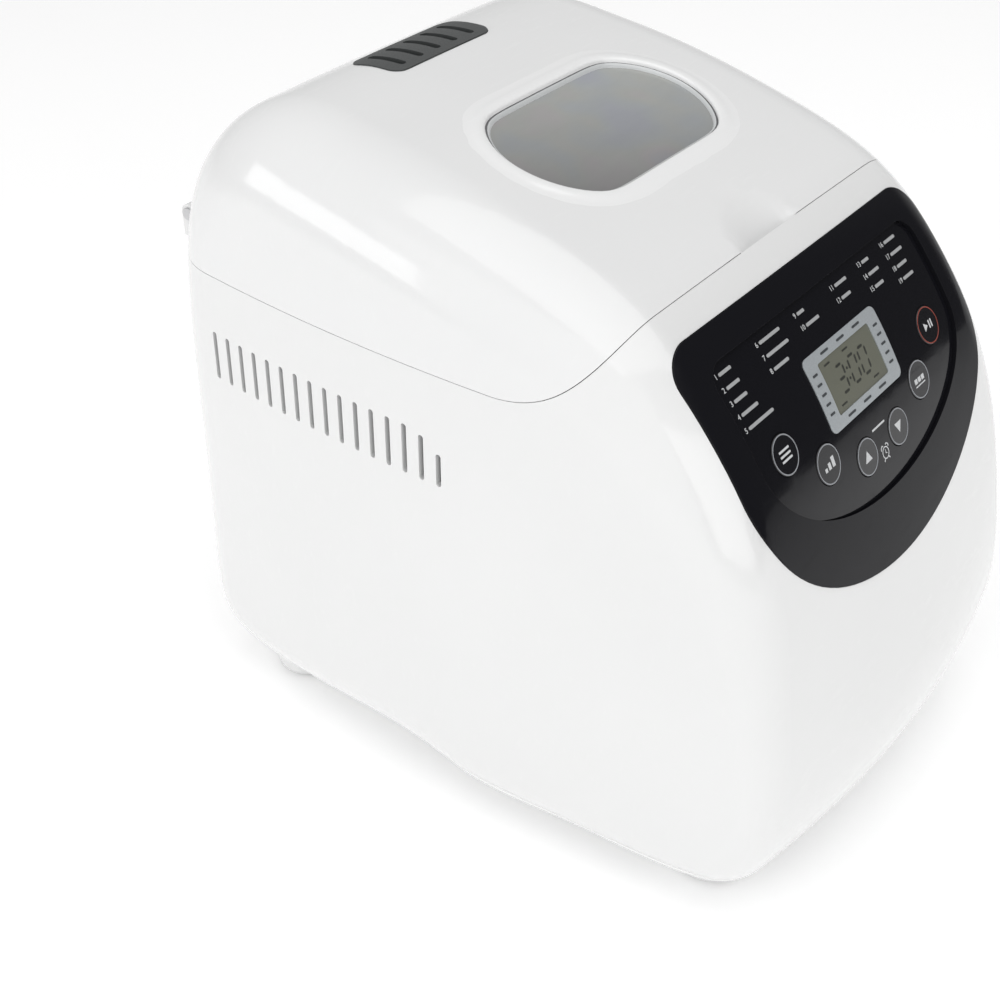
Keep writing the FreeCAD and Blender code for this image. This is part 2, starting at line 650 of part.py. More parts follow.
def make_board_screws():
    normal = panel_axes()[2]
    screws = []
    for x, w in standoff_places():
        head = cylinder(2.6, panel_point(x, w, -BOARD_DEPTH - BOARD_T - 1.6), normal, 1.5)
        screws.append(head.fuse(cylinder(1.2, panel_point(x, w, -BOARD_DEPTH - BOARD_T - 1.6), normal, 7.5)))
    return group(screws)


# ---- oven -----------------------------------------------------------------------------------------
def make_oven_chamber():
    outer = rounded_block(CHAMBER, 0, PAN_Y, CHAMBER_FLOOR, CHAMBER_TOP, CHAMBER_WALL)
    flange = rounded_block(CHAMBER, 0, PAN_Y, CHAMBER_TOP - CHAMBER_WALL, CHAMBER_TOP, 5.0)
    cavity = rounded_block(CHAMBER, 0, PAN_Y, CHAMBER_FLOOR + CHAMBER_WALL, CHAMBER_TOP + 1)
    chamber = outer.fuse(flange).cut(cavity).cut(upright(12.0, 0, PAN_Y, 40, 50))
    for x in TERMINAL_X:
        chamber = chamber.cut(cylinder(6.2, Vector(x, -60, ELEMENT_Z), Vector(0, 1, 0), 40))
    return chamber.cut(cylinder(3.2, Vector(0, -60, SENSOR_Z), Vector(0, 1, 0), 40)).removeSplitter()


def element_path():
    half_x, half_y, r = ELEMENT
    k = r * (1 - math.sqrt(0.5))
    z = ELEMENT_Z
    rear, front = PAN_Y + half_y, PAN_Y - half_y
    leg = TERMINAL_X[1]
    bend = ELEMENT_LEG_BEND
    kb = bend * (1 - math.sqrt(0.5))
    end = -58.0
    edges = []
    edges.append(Part.makeLine(Vector(leg, end, z), Vector(leg, front - bend, z)))
    edges.append(Part.Arc(Vector(leg, front - bend, z), Vector(leg + kb, front - kb, z),
                          Vector(leg + bend, front, z)).toShape())
    edges.append(Part.makeLine(Vector(leg + bend, front, z), Vector(half_x - r, front, z)))
    edges.append(Part.Arc(Vector(half_x - r, front, z), Vector(half_x - k, front + k, z),
                          Vector(half_x, front + r, z)).toShape())
    edges.append(Part.makeLine(Vector(half_x, front + r, z), Vector(half_x, rear - r, z)))
    edges.append(Part.Arc(Vector(half_x, rear - r, z), Vector(half_x - k, rear - k, z),
                          Vector(half_x - r, rear, z)).toShape())
    edges.append(Part.makeLine(Vector(half_x - r, rear, z), Vector(-half_x + r, rear, z)))
    edges.append(Part.Arc(Vector(-half_x + r, rear, z), Vector(-half_x + k, rear - k, z),
                          Vector(-half_x, rear - r, z)).toShape())
    edges.append(Part.makeLine(Vector(-half_x, rear - r, z), Vector(-half_x, front + r, z)))
    edges.append(Part.Arc(Vector(-half_x, front + r, z), Vector(-half_x + k, front + k, z),
                          Vector(-half_x + r, front, z)).toShape())
    edges.append(Part.makeLine(Vector(-half_x + r, front, z), Vector(-leg - bend, front, z)))
    edges.append(Part.Arc(Vector(-leg - bend, front, z), Vector(-leg - kb, front - kb, z),
                          Vector(-leg, front - bend, z)).toShape())
    edges.append(Part.makeLine(Vector(-leg, front - bend, z), Vector(-leg, end, z)))
    return Part.Wire(edges)


def make_heating_element():
    start = Vector(TERMINAL_X[1], -58.0, ELEMENT_Z)
    profile = Part.Wire(Part.makeCircle(ELEMENT_R, start, Vector(0, 1, 0)))
    return element_path().makePipeShell([profile], True, False)


def make_element_bushes():
    bushes = []
    front = PAN_Y - CHAMBER[1]
    for x in TERMINAL_X:
        bush = cylinder(6.0, Vector(x, front - 10, ELEMENT_Z), Vector(0, 1, 0), BUSH_REACH)
        bush = bush.fuse(cylinder(8.5, Vector(x, front - 4.0, ELEMENT_Z), Vector(0, 1, 0), 2.6))
        bore = cylinder(ELEMENT_R + 0.05, Vector(x, front - 20, ELEMENT_Z), Vector(0, 1, 0), 40)
        bushes.append(bush.cut(bore))
    return group(bushes)


def make_element_clips():
    clips = []
    top = ELEMENT_Z - ELEMENT_R - 0.05
    for sx in (-1, 1):
        for y in (PAN_Y - 35, PAN_Y + 35):
            x = sx * ELEMENT[0]
            clips.append(box(x - 3, x + 3, y - 4, y + 4, CHAMBER_FLOOR + CHAMBER_WALL, top))
    return group(clips)


def make_temperature_sensor():
    front = PAN_Y - CHAMBER[1] - CHAMBER_WALL
    probe = cylinder(3.0, Vector(0, front - 10, SENSOR_Z), Vector(0, 1, 0), 18)
    return probe.fuse(cylinder(6.5, Vector(0, front - 3.1, SENSOR_Z), Vector(0, 1, 0), 3.0))


def make_pan_socket():
    base = CHAMBER_FLOOR + CHAMBER_WALL
    ring = upright(35.0, 0, PAN_Y, base, 60).cut(upright(30.6, 0, PAN_Y, 51.5, 70))
    return ring.cut(upright(15.5, 0, PAN_Y, 40, 70))


# ---- pan ------------------------------------------------------------------------------------------
def shrink(size, by):
    return (size[0] - by, size[1] - by, size[2] - by)


def make_bread_pan():
    outer = tapered_block(PAN_LOWER, PAN_UPPER, 0, PAN_Y, PAN_BOTTOM, PAN_TOP)
    inner = tapered_block(shrink(PAN_LOWER, PAN_WALL), shrink(PAN_UPPER, PAN_WALL - 0.1), 0, PAN_Y,
                          PAN_BOTTOM + 2.0, PAN_TOP + 1)
    rim = rounded_block(PAN_UPPER, 0, PAN_Y, PAN_TOP - 2.4, PAN_TOP, 3.6)
    pan = outer.fuse(rim)
    for side in (-1, 1):
        x0, x1 = sorted((side * 77.4, side * 79.4))
        pan = pan.fuse(box(x0, x1, PAN_Y - 7, PAN_Y + 7, BAIL_Z - 7, PAN_TOP - 1))
    pan = pan.fuse(upright(30.0, 0, PAN_Y, 51.8, PAN_BOTTOM + 1).cut(upright(26.0, 0, PAN_Y, 40, PAN_BOTTOM)))
    pan = pan.cut(inner).cut(upright(8.0, 0, PAN_Y, 40, 90))
    pan = pan.cut(along_x(BAIL_R - 0.15, -90, -76.6, PAN_Y, BAIL_Z))
    pan = pan.cut(along_x(BAIL_R - 0.15, 76.6, 90, PAN_Y, BAIL_Z))
    return pan.removeSplitter()


def make_pan_bearing():
    bearing = upright(7.95, 0, PAN_Y, 62.4, 74).fuse(upright(11.5, 0, PAN_Y, 68.1, 71))
    return bearing.cut(upright(SHAFT_R + PIN_CLEARANCE, 0, PAN_Y, 40, 90))


def make_pan_handle():
    bend = 8.0
    ankle = 2.5
    x, z = BAIL_X, BAIL_Z
    far = PAN_Y + BAIL_REACH
    near = Vector(BAIL_TIP, PAN_Y, z)
    diagonal = 1 - math.sqrt(0.5)

    def corner(a, b, c):
        return Part.Arc(Vector(*a, z), Vector(*b, z), Vector(*c, z)).toShape()

    def run(a, b):
        return Part.makeLine(Vector(*a, z), Vector(*b, z))

    edges = []
    for side in (1, -1):
        ankle_in = (side * (x - ankle), PAN_Y)
        ankle_mid = (side * (x - ankle * diagonal), PAN_Y + ankle * diagonal)
        ankle_out = (side * x, PAN_Y + ankle)
        bend_in = (side * x, far - bend)
        bend_mid = (side * (x - bend * diagonal), far - bend * diagonal)
        bend_out = (side * (x - bend), far)
        half = [run((side * BAIL_TIP, PAN_Y), ankle_in), corner(ankle_in, ankle_mid, ankle_out),
                run(ankle_out, bend_in), corner(bend_in, bend_mid, bend_out)]
        if side > 0:
            edges = half + [run(bend_out, (-bend_out[0], far))]
        else:
            edges += half[::-1]
    profile = Part.Wire(Part.makeCircle(BAIL_R - 0.2, near, Vector(1, 0, 0)))
    return Part.Wire(Part.__sortEdges__(edges)).makePipeShell([profile], True, False)


def make_pan_shaft():
    """Kneading shaft with the cup that drops over the drive wings."""
    shaft = upright(SHAFT_R, 0, PAN_Y, 60, 90)
    cup = upright(13.5, 0, PAN_Y, 52.6, 62).cut(upright(11.0, 0, PAN_Y, 50, 60))
    for sy in (-1, 1):
        y0, y1 = sorted((PAN_Y + sy * 7.0, PAN_Y + sy * 12.0))
        cup = cup.fuse(box(-2.5, 2.5, y0, y1, 52.6, 60.5))
    return shaft.fuse(cup).removeSplitter()


def make_kneading_blade():
    hub = upright(8.0, 0, PAN_Y, 75, 92)
    reach = 42.0
    outline = Part.Wire([
        Part.Arc(Vector(0, PAN_Y - 6, 75.5), Vector(reach * 0.6, PAN_Y - 4.5, 75.5),
                 Vector(reach, PAN_Y + 3, 75.5)).toShape(),
        Part.Arc(Vector(reach, PAN_Y + 3, 75.5), Vector(reach + 1.0, PAN_Y + 5.6, 75.5),
                 Vector(reach - 2, PAN_Y + 6, 75.5)).toShape(),
        Part.Arc(Vector(reach - 2, PAN_Y + 6, 75.5), Vector(reach * 0.55, PAN_Y - 0.6, 75.5),
                 Vector(0, PAN_Y + 4, 75.5)).toShape(),
        Part.makeLine(Vector(0, PAN_Y + 4, 75.5), Vector(0, PAN_Y - 6, 75.5))])
    vane = Part.Face(outline).extrude(Vector(0, 0, 26))
    slope = Part.makeCylinder(60, 80, Vector(reach + 4, PAN_Y - 40, 136.5), Vector(0, 1, 0))
    vane = vane.cut(slope)
    return hub.fuse(vane).cut(upright(SHAFT_R + 0.02, 0, PAN_Y, 60, 90.5)).removeSplitter()


# ---- drive ----------------------------------------------------------------------------------------
def make_drive_shaft():
    shaft = upright(SHAFT_R, 0, PAN_Y, SHAFT_FOOT, 50)
    wings = box(-10, 10, PAN_Y - 2.2, PAN_Y + 2.2, 53.4, 58.5)
    return shaft.fuse(upright(6.0, 0, PAN_Y, 49, 58.5)).fuse(wings).removeSplitter()


def pulley(y, radius, bore):
    body = upright(radius, 0, y, PULLEY_Z, PULLEY_Z + PULLEY_H)
    groove = upright(radius + 5, 0, y, PULLEY_Z + 1.4, PULLEY_Z + PULLEY_H - 1.4)
    groove = groove.cut(upright(radius - BELT_T, 0, y, PULLEY_Z, PULLEY_Z + PULLEY_H))
    return body.cut(groove).cut(upright(bore, 0, y, PULLEY_Z - 1, PULLEY_Z + PULLEY_H + 1))


def make_large_pulley():
    wheel = pulley(PAN_Y, BIG_PULLEY_R, SHAFT_R + 0.02)
    for i in range(6):
        angle = math.radians(60 * i)
        x, y = 22 * math.cos(angle), PAN_Y + 22 * math.sin(angle)
        wheel = wheel.cut(upright(7.5, x, y, PULLEY_Z - 1, PULLEY_Z + PULLEY_H + 1))
    return wheel


def make_drive_belt():
    """Belt loop: two arcs and two straight runs, a little clear of both pulleys."""
    def loop(extra):
        big = BIG_PULLEY_R - BELT_T + extra
        small = SMALL_PULLEY_R - BELT_T + extra
        gap = PAN_Y - MOTOR_Y
        lean = math.asin((big - small) / gap)
        cos_l, sin_l = math.cos(lean), math.sin(lean)
        z = PULLEY_Z + (PULLEY_H - BELT_H) / 2
        right_big = Vector(big * cos_l, PAN_Y - big * sin_l, z)
        left_big = Vector(-big * cos_l, PAN_Y - big * sin_l, z)
        right_small = Vector(small * cos_l, MOTOR_Y - small * sin_l, z)
        left_small = Vector(-small * cos_l, MOTOR_Y - small * sin_l, z)
        wire = Part.Wire([
            Part.Arc(right_big, Vector(0, PAN_Y + big, z), left_big).toShape(),
            Part.makeLine(left_big, left_small),
            Part.Arc(left_small, Vector(0, MOTOR_Y - small, z), right_small).toShape(),
            Part.makeLine(right_small, right_big)])
        return Part.Face(wire).extrude(Vector(0, 0, BELT_H))
    return loop(0.3 + BELT_T - 0.4).cut(loop(0.3))


def make_motor_pulley():
    return pulley(MOTOR_Y, SMALL_PULLEY_R, 3.02)


def make_motor_shaft():
    return upright(3.0, 0, MOTOR_Y, 22, 60)


def make_motor():
    can = upright(MOTOR_R, 0, MOTOR_Y, PLATE_Z + PLATE_T + 0.1, MOTOR_TOP)
    can = can.fuse(upright(9.0, 0, MOTOR_Y, MOTOR_TOP - 1, MOTOR_TOP + 5))
    return can.cut(upright(3.0 + PIN_CLEARANCE, 0, MOTOR_Y, 30, 62)).removeSplitter()


def make_motor_plate():
    plate = rounded_block((44.0, 96.0, 10.0), 0, (MOTOR_Y + PAN_Y) / 2, PLATE_Z, PLATE_Z + PLATE_T)
    plate = plate.cut(upright(SHAFT_R + 2, 0, PAN_Y, 30, 45)).cut(upright(8.0, 0, MOTOR_Y, 30, 45))
    for x, y in POSTS:
        plate = plate.cut(upright(SCREW_R + 0.2, x, y, 30, 45))
    return plate


def make_bearing_housing():
    top = CHAMBER_FLOOR - 0.05
    base = PLATE_Z + PLATE_T
    housing = upright(11.5, 0, PAN_Y, base, top).fuse(upright(18, 0, PAN_Y, base, base + 2.5))
    return housing.cut(upright(SHAFT_R + PIN_CLEARANCE, 0, PAN_Y, 30, 60))


def make_plate_posts():
    """Each post stands on the inner face of the base."""
    posts = []
    for x, y in POSTS:
        post = upright(POST_R, x, y, 10, PLATE_Z - POST_LIFT).common(hull(INNER))
        post.translate(Vector(0, 0, POST_LIFT))
        posts.append(post.cut(upright(SCREW_R + 0.05, x, y, 5, 40)))
    return group(posts)


def make_base_screws():
    screws = []
    for x, y in POSTS:
        head = upright(SCREW_HEAD_R, x, y, 12.6, 14.5)
        shank = upright(SCREW_R, x, y, 12.6, PLATE_Z + PLATE_T + 0.05)
        screws.append(head.fuse(shank))
    return group(screws)


def make_post_nuts():
    nuts = []
    for x, y in POSTS:
        base = PLATE_Z + PLATE_T
        turns = [math.radians(60 * i) for i in range(7)]
        corners = [Vector(x + NUT_R * math.cos(t), y + NUT_R * math.sin(t), base) for t in turns]
        nut = Part.Face(Part.makePolygon(corners)).extrude(Vector(0, 0, 2.8))
        nuts.append(nut.cut(upright(SCREW_R + 0.05, x, y, 30, 50)))
    return group(nuts)


def make_power_board():
    board = box(44, 98, -63.6, -62.0, 62, 132)
    return board


def make_power_parts():
    return group([
        box(50, 66, -78.0, -63.7, 96, 124),
        cylinder(7.0, Vector(82, -63.7, 78), Vector(0, -1, 0), 22),
        box(72, 94, -74.0, -63.7, 100, 122),
        box(50, 70, -72.0, -63.7, 68, 84)])


def make_board_bracket():
    foot = box(44, 98, -62.0, -50, 60.2, 61.8)
    return foot.fuse(box(44, 98, -61.9, -60.4, 61.8, 132))


def make_cord_gland():
    direction = Vector(0, 1, 0)
    bush = cylinder(7.0, Vector(GLAND_X, 149.0, GLAND_Z), direction, 8.5)
    bush = bush.fuse(cylinder(9.5, Vector(GLAND_X, 156.8, GLAND_Z), direction, 2.4))
    bush = bush.fuse(cylinder(9.5, Vector(GLAND_X, 149.0, GLAND_Z), direction, 3.0))
    return bush.cut(cylinder(GLAND_BORE, Vector(GLAND_X, 140.0, GLAND_Z), direction, 30)).removeSplitter()


PARTS = {
    "body_shell": make_body_shell,
    "base_tray": make_base_tray,
    "foot_pads": make_foot_pads,
    "top_deck": make_top_deck,
    "lid_shell": make_lid_shell,
    "window_trim": make_window_trim,
    "window_gasket": make_window_gasket,
    "window_glass": make_window_glass,
    "vent_grille": make_vent_grille,
    "lid_liner": make_lid_liner,
    "liner_glass": make_liner_glass,
    "lid_seal": make_lid_seal,
    "lid_screws": make_lid_screws,
    "hinge_brackets": make_hinge_brackets,
    "hinge_pins": make_hinge_pins,
    "panel_frame": make_panel_frame,
    "panel_film": make_panel_film,
    "display_bezel": make_display_bezel,
    "display": make_display,
    "button_switches": make_switches,
    "control_board": make_control_board,
    "board_standoffs": make_standoffs,
    "board_screws": make_board_screws,
    "oven_chamber": make_oven_chamber,
    "heating_element": make_heating_element,
    "element_bushes": make_element_bushes,
    "element_clips": make_element_clips,
    "temperature_sensor": make_temperature_sensor,
    "pan_socket": make_pan_socket,
    "bread_pan": make_bread_pan,
    "pan_bearing": make_pan_bearing,
    "pan_handle": make_pan_handle,
    "pan_shaft": make_pan_shaft,
    "kneading_blade": make_kneading_blade,
    "drive_shaft": make_drive_shaft,
    "large_pulley": make_large_pulley,
    "drive_belt": make_drive_belt,
    "motor_pulley": make_motor_pulley,
    "motor_shaft": make_motor_shaft,
    "motor": make_motor,
    "motor_plate": make_motor_plate,
    "bearing_housing": make_bearing_housing,
    "plate_posts": make_plate_posts,
    "base_screws": make_base_screws,
    "post_nuts": make_post_nuts,
    "power_board": make_power_board,
    "power_parts": make_power_parts,
    "board_bracket": make_board_bracket,
    "cord_gland": make_cord_gland,
}


def main():
    os.makedirs(OUT, exist_ok=True)
    for name, make in PARTS.items():
        save(name, make())
    for name in BUTTONS:
        save(name, make_button(name))
        point, outward, radius = button_axis(name)
        print(name, "axis", round(outward.y, 4), round(outward.z, 4))


main()
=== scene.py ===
import json
import math

import bmesh
import bpy
import numpy as np
from bpy.props import FloatProperty, FloatVectorProperty, IntProperty, PointerProperty
from bpy.types import Operator, Panel, PropertyGroup
from mathutils import Matrix, Vector
from mathutils.bvhtree import BVHTree

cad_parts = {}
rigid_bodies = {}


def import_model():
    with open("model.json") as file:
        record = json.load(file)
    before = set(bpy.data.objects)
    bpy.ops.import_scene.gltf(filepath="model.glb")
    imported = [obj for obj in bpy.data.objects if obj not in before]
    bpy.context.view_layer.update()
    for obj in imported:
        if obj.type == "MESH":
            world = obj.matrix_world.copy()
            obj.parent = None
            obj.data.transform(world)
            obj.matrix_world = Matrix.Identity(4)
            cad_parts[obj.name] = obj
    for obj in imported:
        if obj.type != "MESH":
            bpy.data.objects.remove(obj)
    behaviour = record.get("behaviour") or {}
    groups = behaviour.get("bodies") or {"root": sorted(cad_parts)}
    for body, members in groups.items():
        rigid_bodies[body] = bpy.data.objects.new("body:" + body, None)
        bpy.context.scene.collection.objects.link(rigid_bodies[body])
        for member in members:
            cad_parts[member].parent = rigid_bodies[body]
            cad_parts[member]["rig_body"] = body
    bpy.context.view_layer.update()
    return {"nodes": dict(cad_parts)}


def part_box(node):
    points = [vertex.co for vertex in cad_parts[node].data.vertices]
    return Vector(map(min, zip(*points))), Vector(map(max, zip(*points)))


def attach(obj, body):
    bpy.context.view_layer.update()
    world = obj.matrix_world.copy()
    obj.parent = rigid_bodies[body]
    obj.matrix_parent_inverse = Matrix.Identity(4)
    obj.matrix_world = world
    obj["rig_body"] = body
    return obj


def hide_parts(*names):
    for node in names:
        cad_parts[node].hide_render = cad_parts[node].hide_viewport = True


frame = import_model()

bl_info = {
    "name": "Bread machine",
    "version": (1, 0, 0),
    "blender": (4, 5, 0),
    "location": "3D View > Sidebar > Bread machine",
    "description": "Builds the visible pieces of a bread machine round its packed frame",
    "category": "Object",
}

NODES = frame["nodes"]
MM = 0.001
UP = Vector((0.0, 0.0, 1.0))
PRINT_GAP = 0.00001
PRINT_STEP = 0.0015
SEGMENT_THICK = 0.00005
TINY = 1e-9


def body_of(node):
    return NODES[node]["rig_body"]


def middle(node):
    low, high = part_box(node)
    return (low + high) / 2


# ---- sizes and colours that a user would change ---------------------------------------------------
def colour(name, text, value):
    return FloatVectorProperty(name=name, description=text, default=value, size=3, min=0.0, max=1.0,
                               subtype="COLOR")


def length(name, text, value):
    return FloatProperty(name=name, description=text, default=value, subtype="DISTANCE", unit="LENGTH")


class CasingLook(PropertyGroup):
    """The white mouldings."""

    casing: colour("Casing", "Colour of the casing and base", (0.78, 0.782, 0.78))
    lid: colour("Lid", "Colour of the lid", (0.79, 0.792, 0.792))
    edge: length("Edge", "Radius of the moulded edges", 0.0005)
    vent: colour("Vent", "Colour of the vent grille", (0.055, 0.059, 0.059))


class WindowLook(PropertyGroup):
    """The lid window and the soft rim round it."""

    rim_width: length("Rim width", "How far the raised rim spreads over the lid", 0.0085)
    rim_rise: length("Rim rise", "Height of the rim above the lid", 0.0007)
    rim_drop: length("Rim drop", "Depth of the inner bevel down to the glass", 0.0011)
    tint: colour("Tint", "Colour of the window glass", (0.25, 0.255, 0.26))
    cover: FloatProperty(name="Cover", description="How much the glass hides what is behind it", default=0.88,
                         min=0.0, max=1.0, subtype="FACTOR")


class PanelLook(PropertyGroup):
    """The control panel and what is printed on it."""

    tilt: FloatProperty(name="Tilt", description="Slope of the panel from level", default=math.radians(57.2),
                        subtype="ANGLE")
    frame: colour("Frame", "Colour of the gloss frame", (0.008, 0.008, 0.010))
    film: colour("Film", "Colour of the printed film", (0.006, 0.006, 0.008))
    bezel: colour("Bezel", "Colour of the display bezel", (0.44, 0.47, 0.49))
    glass: colour("Display", "Colour of the display", (0.145, 0.148, 0.118))
    ink: colour("Ink", "Colour of the light print", (0.62, 0.63, 0.64))
    ring: colour("Rings", "Colour of the rings round the keys", (0.30, 0.31, 0.33))
    start: colour("Start ring", "Colour of the ring round the start key", (0.27, 0.052, 0.036))
    lift: length("Print lift", "Thickness of the print", 0.00005)


class OvenLook(PropertyGroup):
    """The oven chamber, the pan and the kneading blade."""

    coating: colour("Coating", "Colour of the non-stick coating", (0.035, 0.035, 0.038))
    chamber: colour("Chamber", "Colour of the coated chamber", (0.21, 0.215, 0.22))
    rib: length("Rib", "Depth of the pressed ribs", 0.0008)
    bead: length("Bead", "Radius of the rolled rim of the pan", 0.0016)


class DriveLook(PropertyGroup):
    """The belt drive and the motor."""

    teeth: IntProperty(name="Belt teeth", description="Teeth along the inside of the belt", default=96, min=8)
    slots: IntProperty(name="Motor slots", description="Cooling slots round the motor can", default=14, min=3)


class StageLook(PropertyGroup):
    """The floor, the lights and the camera."""

    floor: colour("Floor", "Colour of the floor", (0.99, 0.99, 0.99))
    glow: FloatProperty(name="Floor glow", description="Light that the floor gives off", default=0.16,
                        min=0.0)
    ambient: FloatProperty(name="Ambient", description="Strength of the even studio light", default=0.60,
                           min=0.0)
    lens: FloatProperty(name="Lens", description="Focal length in millimetres for a 36 mm sensor",
                        default=59.07)
    stand: FloatVectorProperty(name="Stand", description="Place of the camera", size=3, subtype="XYZ",
                               unit="LENGTH", default=(-0.50848, -0.34075, 0.52299))
    gaze: FloatVectorProperty(name="Gaze", description="Direction in which the camera looks", size=3,
                              subtype="DIRECTION", default=(0.64538, 0.50276, -0.57509))
    roll: FloatProperty(name="Roll", description="Turn of the camera about its own line of sight",
                        default=math.radians(-1.02), subtype="ANGLE")


class MachineLook(PropertyGroup):
    """All the settings of the bread machine."""

    casing: PointerProperty(type=CasingLook)
    window: PointerProperty(type=WindowLook)
    panel: PointerProperty(type=PanelLook)
    oven: PointerProperty(type=OvenLook)
    drive: PointerProperty(type=DriveLook)
    stage: PointerProperty(type=StageLook)


def look():
    return bpy.context.scene.bread_machine


# ---- finishes -------------------------------------------------------------------------------------
class Wire:
    """A socket of a finish that takes part in arithmetic."""

    def __init__(self, finish, socket):
        self.finish = finish
        self.socket = socket

    def maths(self, operation, *values):
        made = self.finish.node("ShaderNodeMath", {"operation": operation}, dict(enumerate(values)))
        return Wire(self.finish, made.outputs[0])

    def __add__(self, other):
        return self.maths("ADD", self, other)

    def __radd__(self, other):
        return self.maths("ADD", other, self)

    def __sub__(self, other):
        return self.maths("SUBTRACT", self, other)

    def __rsub__(self, other):
        return self.maths("SUBTRACT", other, self)

    def __mul__(self, other):
        return self.maths("MULTIPLY", self, other)

    def __rmul__(self, other):
        return self.maths("MULTIPLY", other, self)

    def __truediv__(self, other):
        return self.maths("DIVIDE", self, other)

    def __gt__(self, other):
        return self.maths("GREATER_THAN", self, other)

    def held(self):
        return self.maths("MINIMUM", self.maths("MAXIMUM", self, 0.0), 1.0)


class Finish:
    """One material and the nodes that make it."""

    def __init__(self, name, **constants):
        self.material = bpy.data.materials.new(name)
        self.material.use_nodes = True
        self.tree = self.material.node_tree
        self.tree.nodes.clear()
        self.shader = self.node("ShaderNodeBsdfPrincipled")
        self.node("ShaderNodeOutputMaterial", {}, {"Surface": Wire(self, self.shader.outputs[0])})
        self.set(**constants)
        self.place = Wire(self, self.node("ShaderNodeTexCoord").outputs["Object"])

    def node(self, kind, settings=None, inputs=None):
        made = self.tree.nodes.new(kind)
        for key, value in (settings or {}).items():
            if key == "stops":
                ramp = made.color_ramp
                while len(ramp.elements) < len(value):
                    ramp.elements.new(0.5)
                for element, (at, shade) in zip(ramp.elements, value):
                    element.position = at
                    element.color = (*shade, 1.0)
            else:
                setattr(made, key, value)
        for key, value in (inputs or {}).items():
            self.feed(made.inputs[key], value)
        return made

    def feed(self, socket, value):
        if isinstance(value, Wire):
            self.tree.links.new(value.socket, socket)
        elif socket.type == "RGBA" and len(value) == 3:
            socket.default_value = (*value, 1.0)
        else:
            socket.default_value = value

    def set(self, **values):
        for key, value in values.items():
            self.feed(self.shader.inputs[key.replace("_", " ")], value)

    def stretched(self, x, y, z):
        """The place, scaled differently along each axis."""
        made = self.node("ShaderNodeMapping", {}, {"Vector": self.place, "Scale": (x, y, z)})
        return Wire(self, made.outputs[0])

    def noise(self, scale, detail=3.0, roughness=0.55, at=None):
        inputs = {"Vector": at or self.place, "Scale": scale, "Detail": detail, "Roughness": roughness}
        made = self.node("ShaderNodeTexNoise", {"normalize": True}, inputs)
        return Wire(self, made.outputs[0])

    def cells(self, scale, output="Distance", feature="F1", at=None):
        inputs = {"Vector": at or self.place, "Scale": scale}
        made = self.node("ShaderNodeTexVoronoi", {"feature": feature}, inputs)
        return Wire(self, made.outputs[output])

    def waves(self, scale, direction="Z", at=None, distortion=0.0):
        inputs = {"Vector": at or self.place, "Scale": scale, "Distortion": distortion}
        made = self.node("ShaderNodeTexWave", {"bands_direction": direction}, inputs)
        return Wire(self, made.outputs["Fac"])

    def axis(self, index):
        return Wire(self, self.node("ShaderNodeSeparateXYZ", {}, {0: self.place}).outputs[index])

    def blend(self, share, first, second):
        made = self.node("ShaderNodeMix", {"data_type": "RGBA"},
                         {0: share, 6: (*first, 1.0) if isinstance(first, tuple) else first,
                          7: (*second, 1.0) if isinstance(second, tuple) else second})
        return Wire(self, made.outputs[2])

    def ramp(self, share, *stops):
        return Wire(self, self.node("ShaderNodeValToRGB", {"stops": stops}, {0: share}).outputs[0])

    def bump(self, height, distance, strength=1.0):
        made = self.node("ShaderNodeBump", {}, {"Height": height, "Distance": distance, "Strength": strength})
        self.set(Normal=Wire(self, made.outputs[0]))


def shade(base, factor):
    return tuple(min(1.0, c * factor) for c in base)


def gloss_plastic(name, base, roughness=0.12, coat=0.5, peel=0.00001, wear=0.05, shine=0.5):
    """Polished moulded plastic: faint mould flow in the colour, orange peel, and hairline handling marks."""
    base = tuple(base)
    made = Finish(name, Coat_Roughness=0.05, Coat_IOR=1.5, IOR=1.5, Specular_IOR_Level=shine)
    flow = made.noise(9.0, 2.0)
    hairs = made.noise(55.0, 5.0, 0.7, made.stretched(1.0, 6.0, 2.5))
    marks = ((hairs - 0.56) * 6.0).held()
    made.set(Base_Color=made.blend(flow, shade(base, 0.975), shade(base, 1.02)),
             Roughness=roughness + flow * 0.03 + marks * wear,
             Coat_Weight=coat - marks * (coat * 0.4))
    made.bump(made.noise(420.0, 2.0) + made.noise(22.0, 1.0) * 6.0, peel)
    return made.material


def grained_plastic(name, base, roughness=0.45, grain=1500.0, depth=0.00006):
    """Matt moulded plastic with a spark-eroded grain."""
    base = tuple(base)
    made = Finish(name, Specular_IOR_Level=0.45)
    cells = made.cells(grain)
    cloud = made.noise(30.0, 4.0)
    made.set(Base_Color=made.blend(cloud, shade(base, 0.86), shade(base, 1.14)),
             Roughness=roughness + cells * 0.16 + cloud * 0.06)
    made.bump(cells + made.noise(grain * 0.4, 3.0) * 0.6, depth, 0.6)
    return made.material


def rubber(name, base, roughness=0.62):
    """Moulded rubber with bloom and a fine matt skin."""
    base = tuple(base)
    made = Finish(name, Specular_IOR_Level=0.3, Sheen_Weight=0.15, Sheen_Roughness=0.6)
    bloom = made.noise(45.0, 6.0, 0.65)
    made.set(Base_Color=made.blend(bloom, shade(base, 0.8), shade(base, 1.35)),
             Roughness=roughness + bloom * 0.15)
    made.bump(made.noise(2200.0, 2.0) + made.cells(900.0) * 0.5, 0.00005, 0.7)
    return made.material


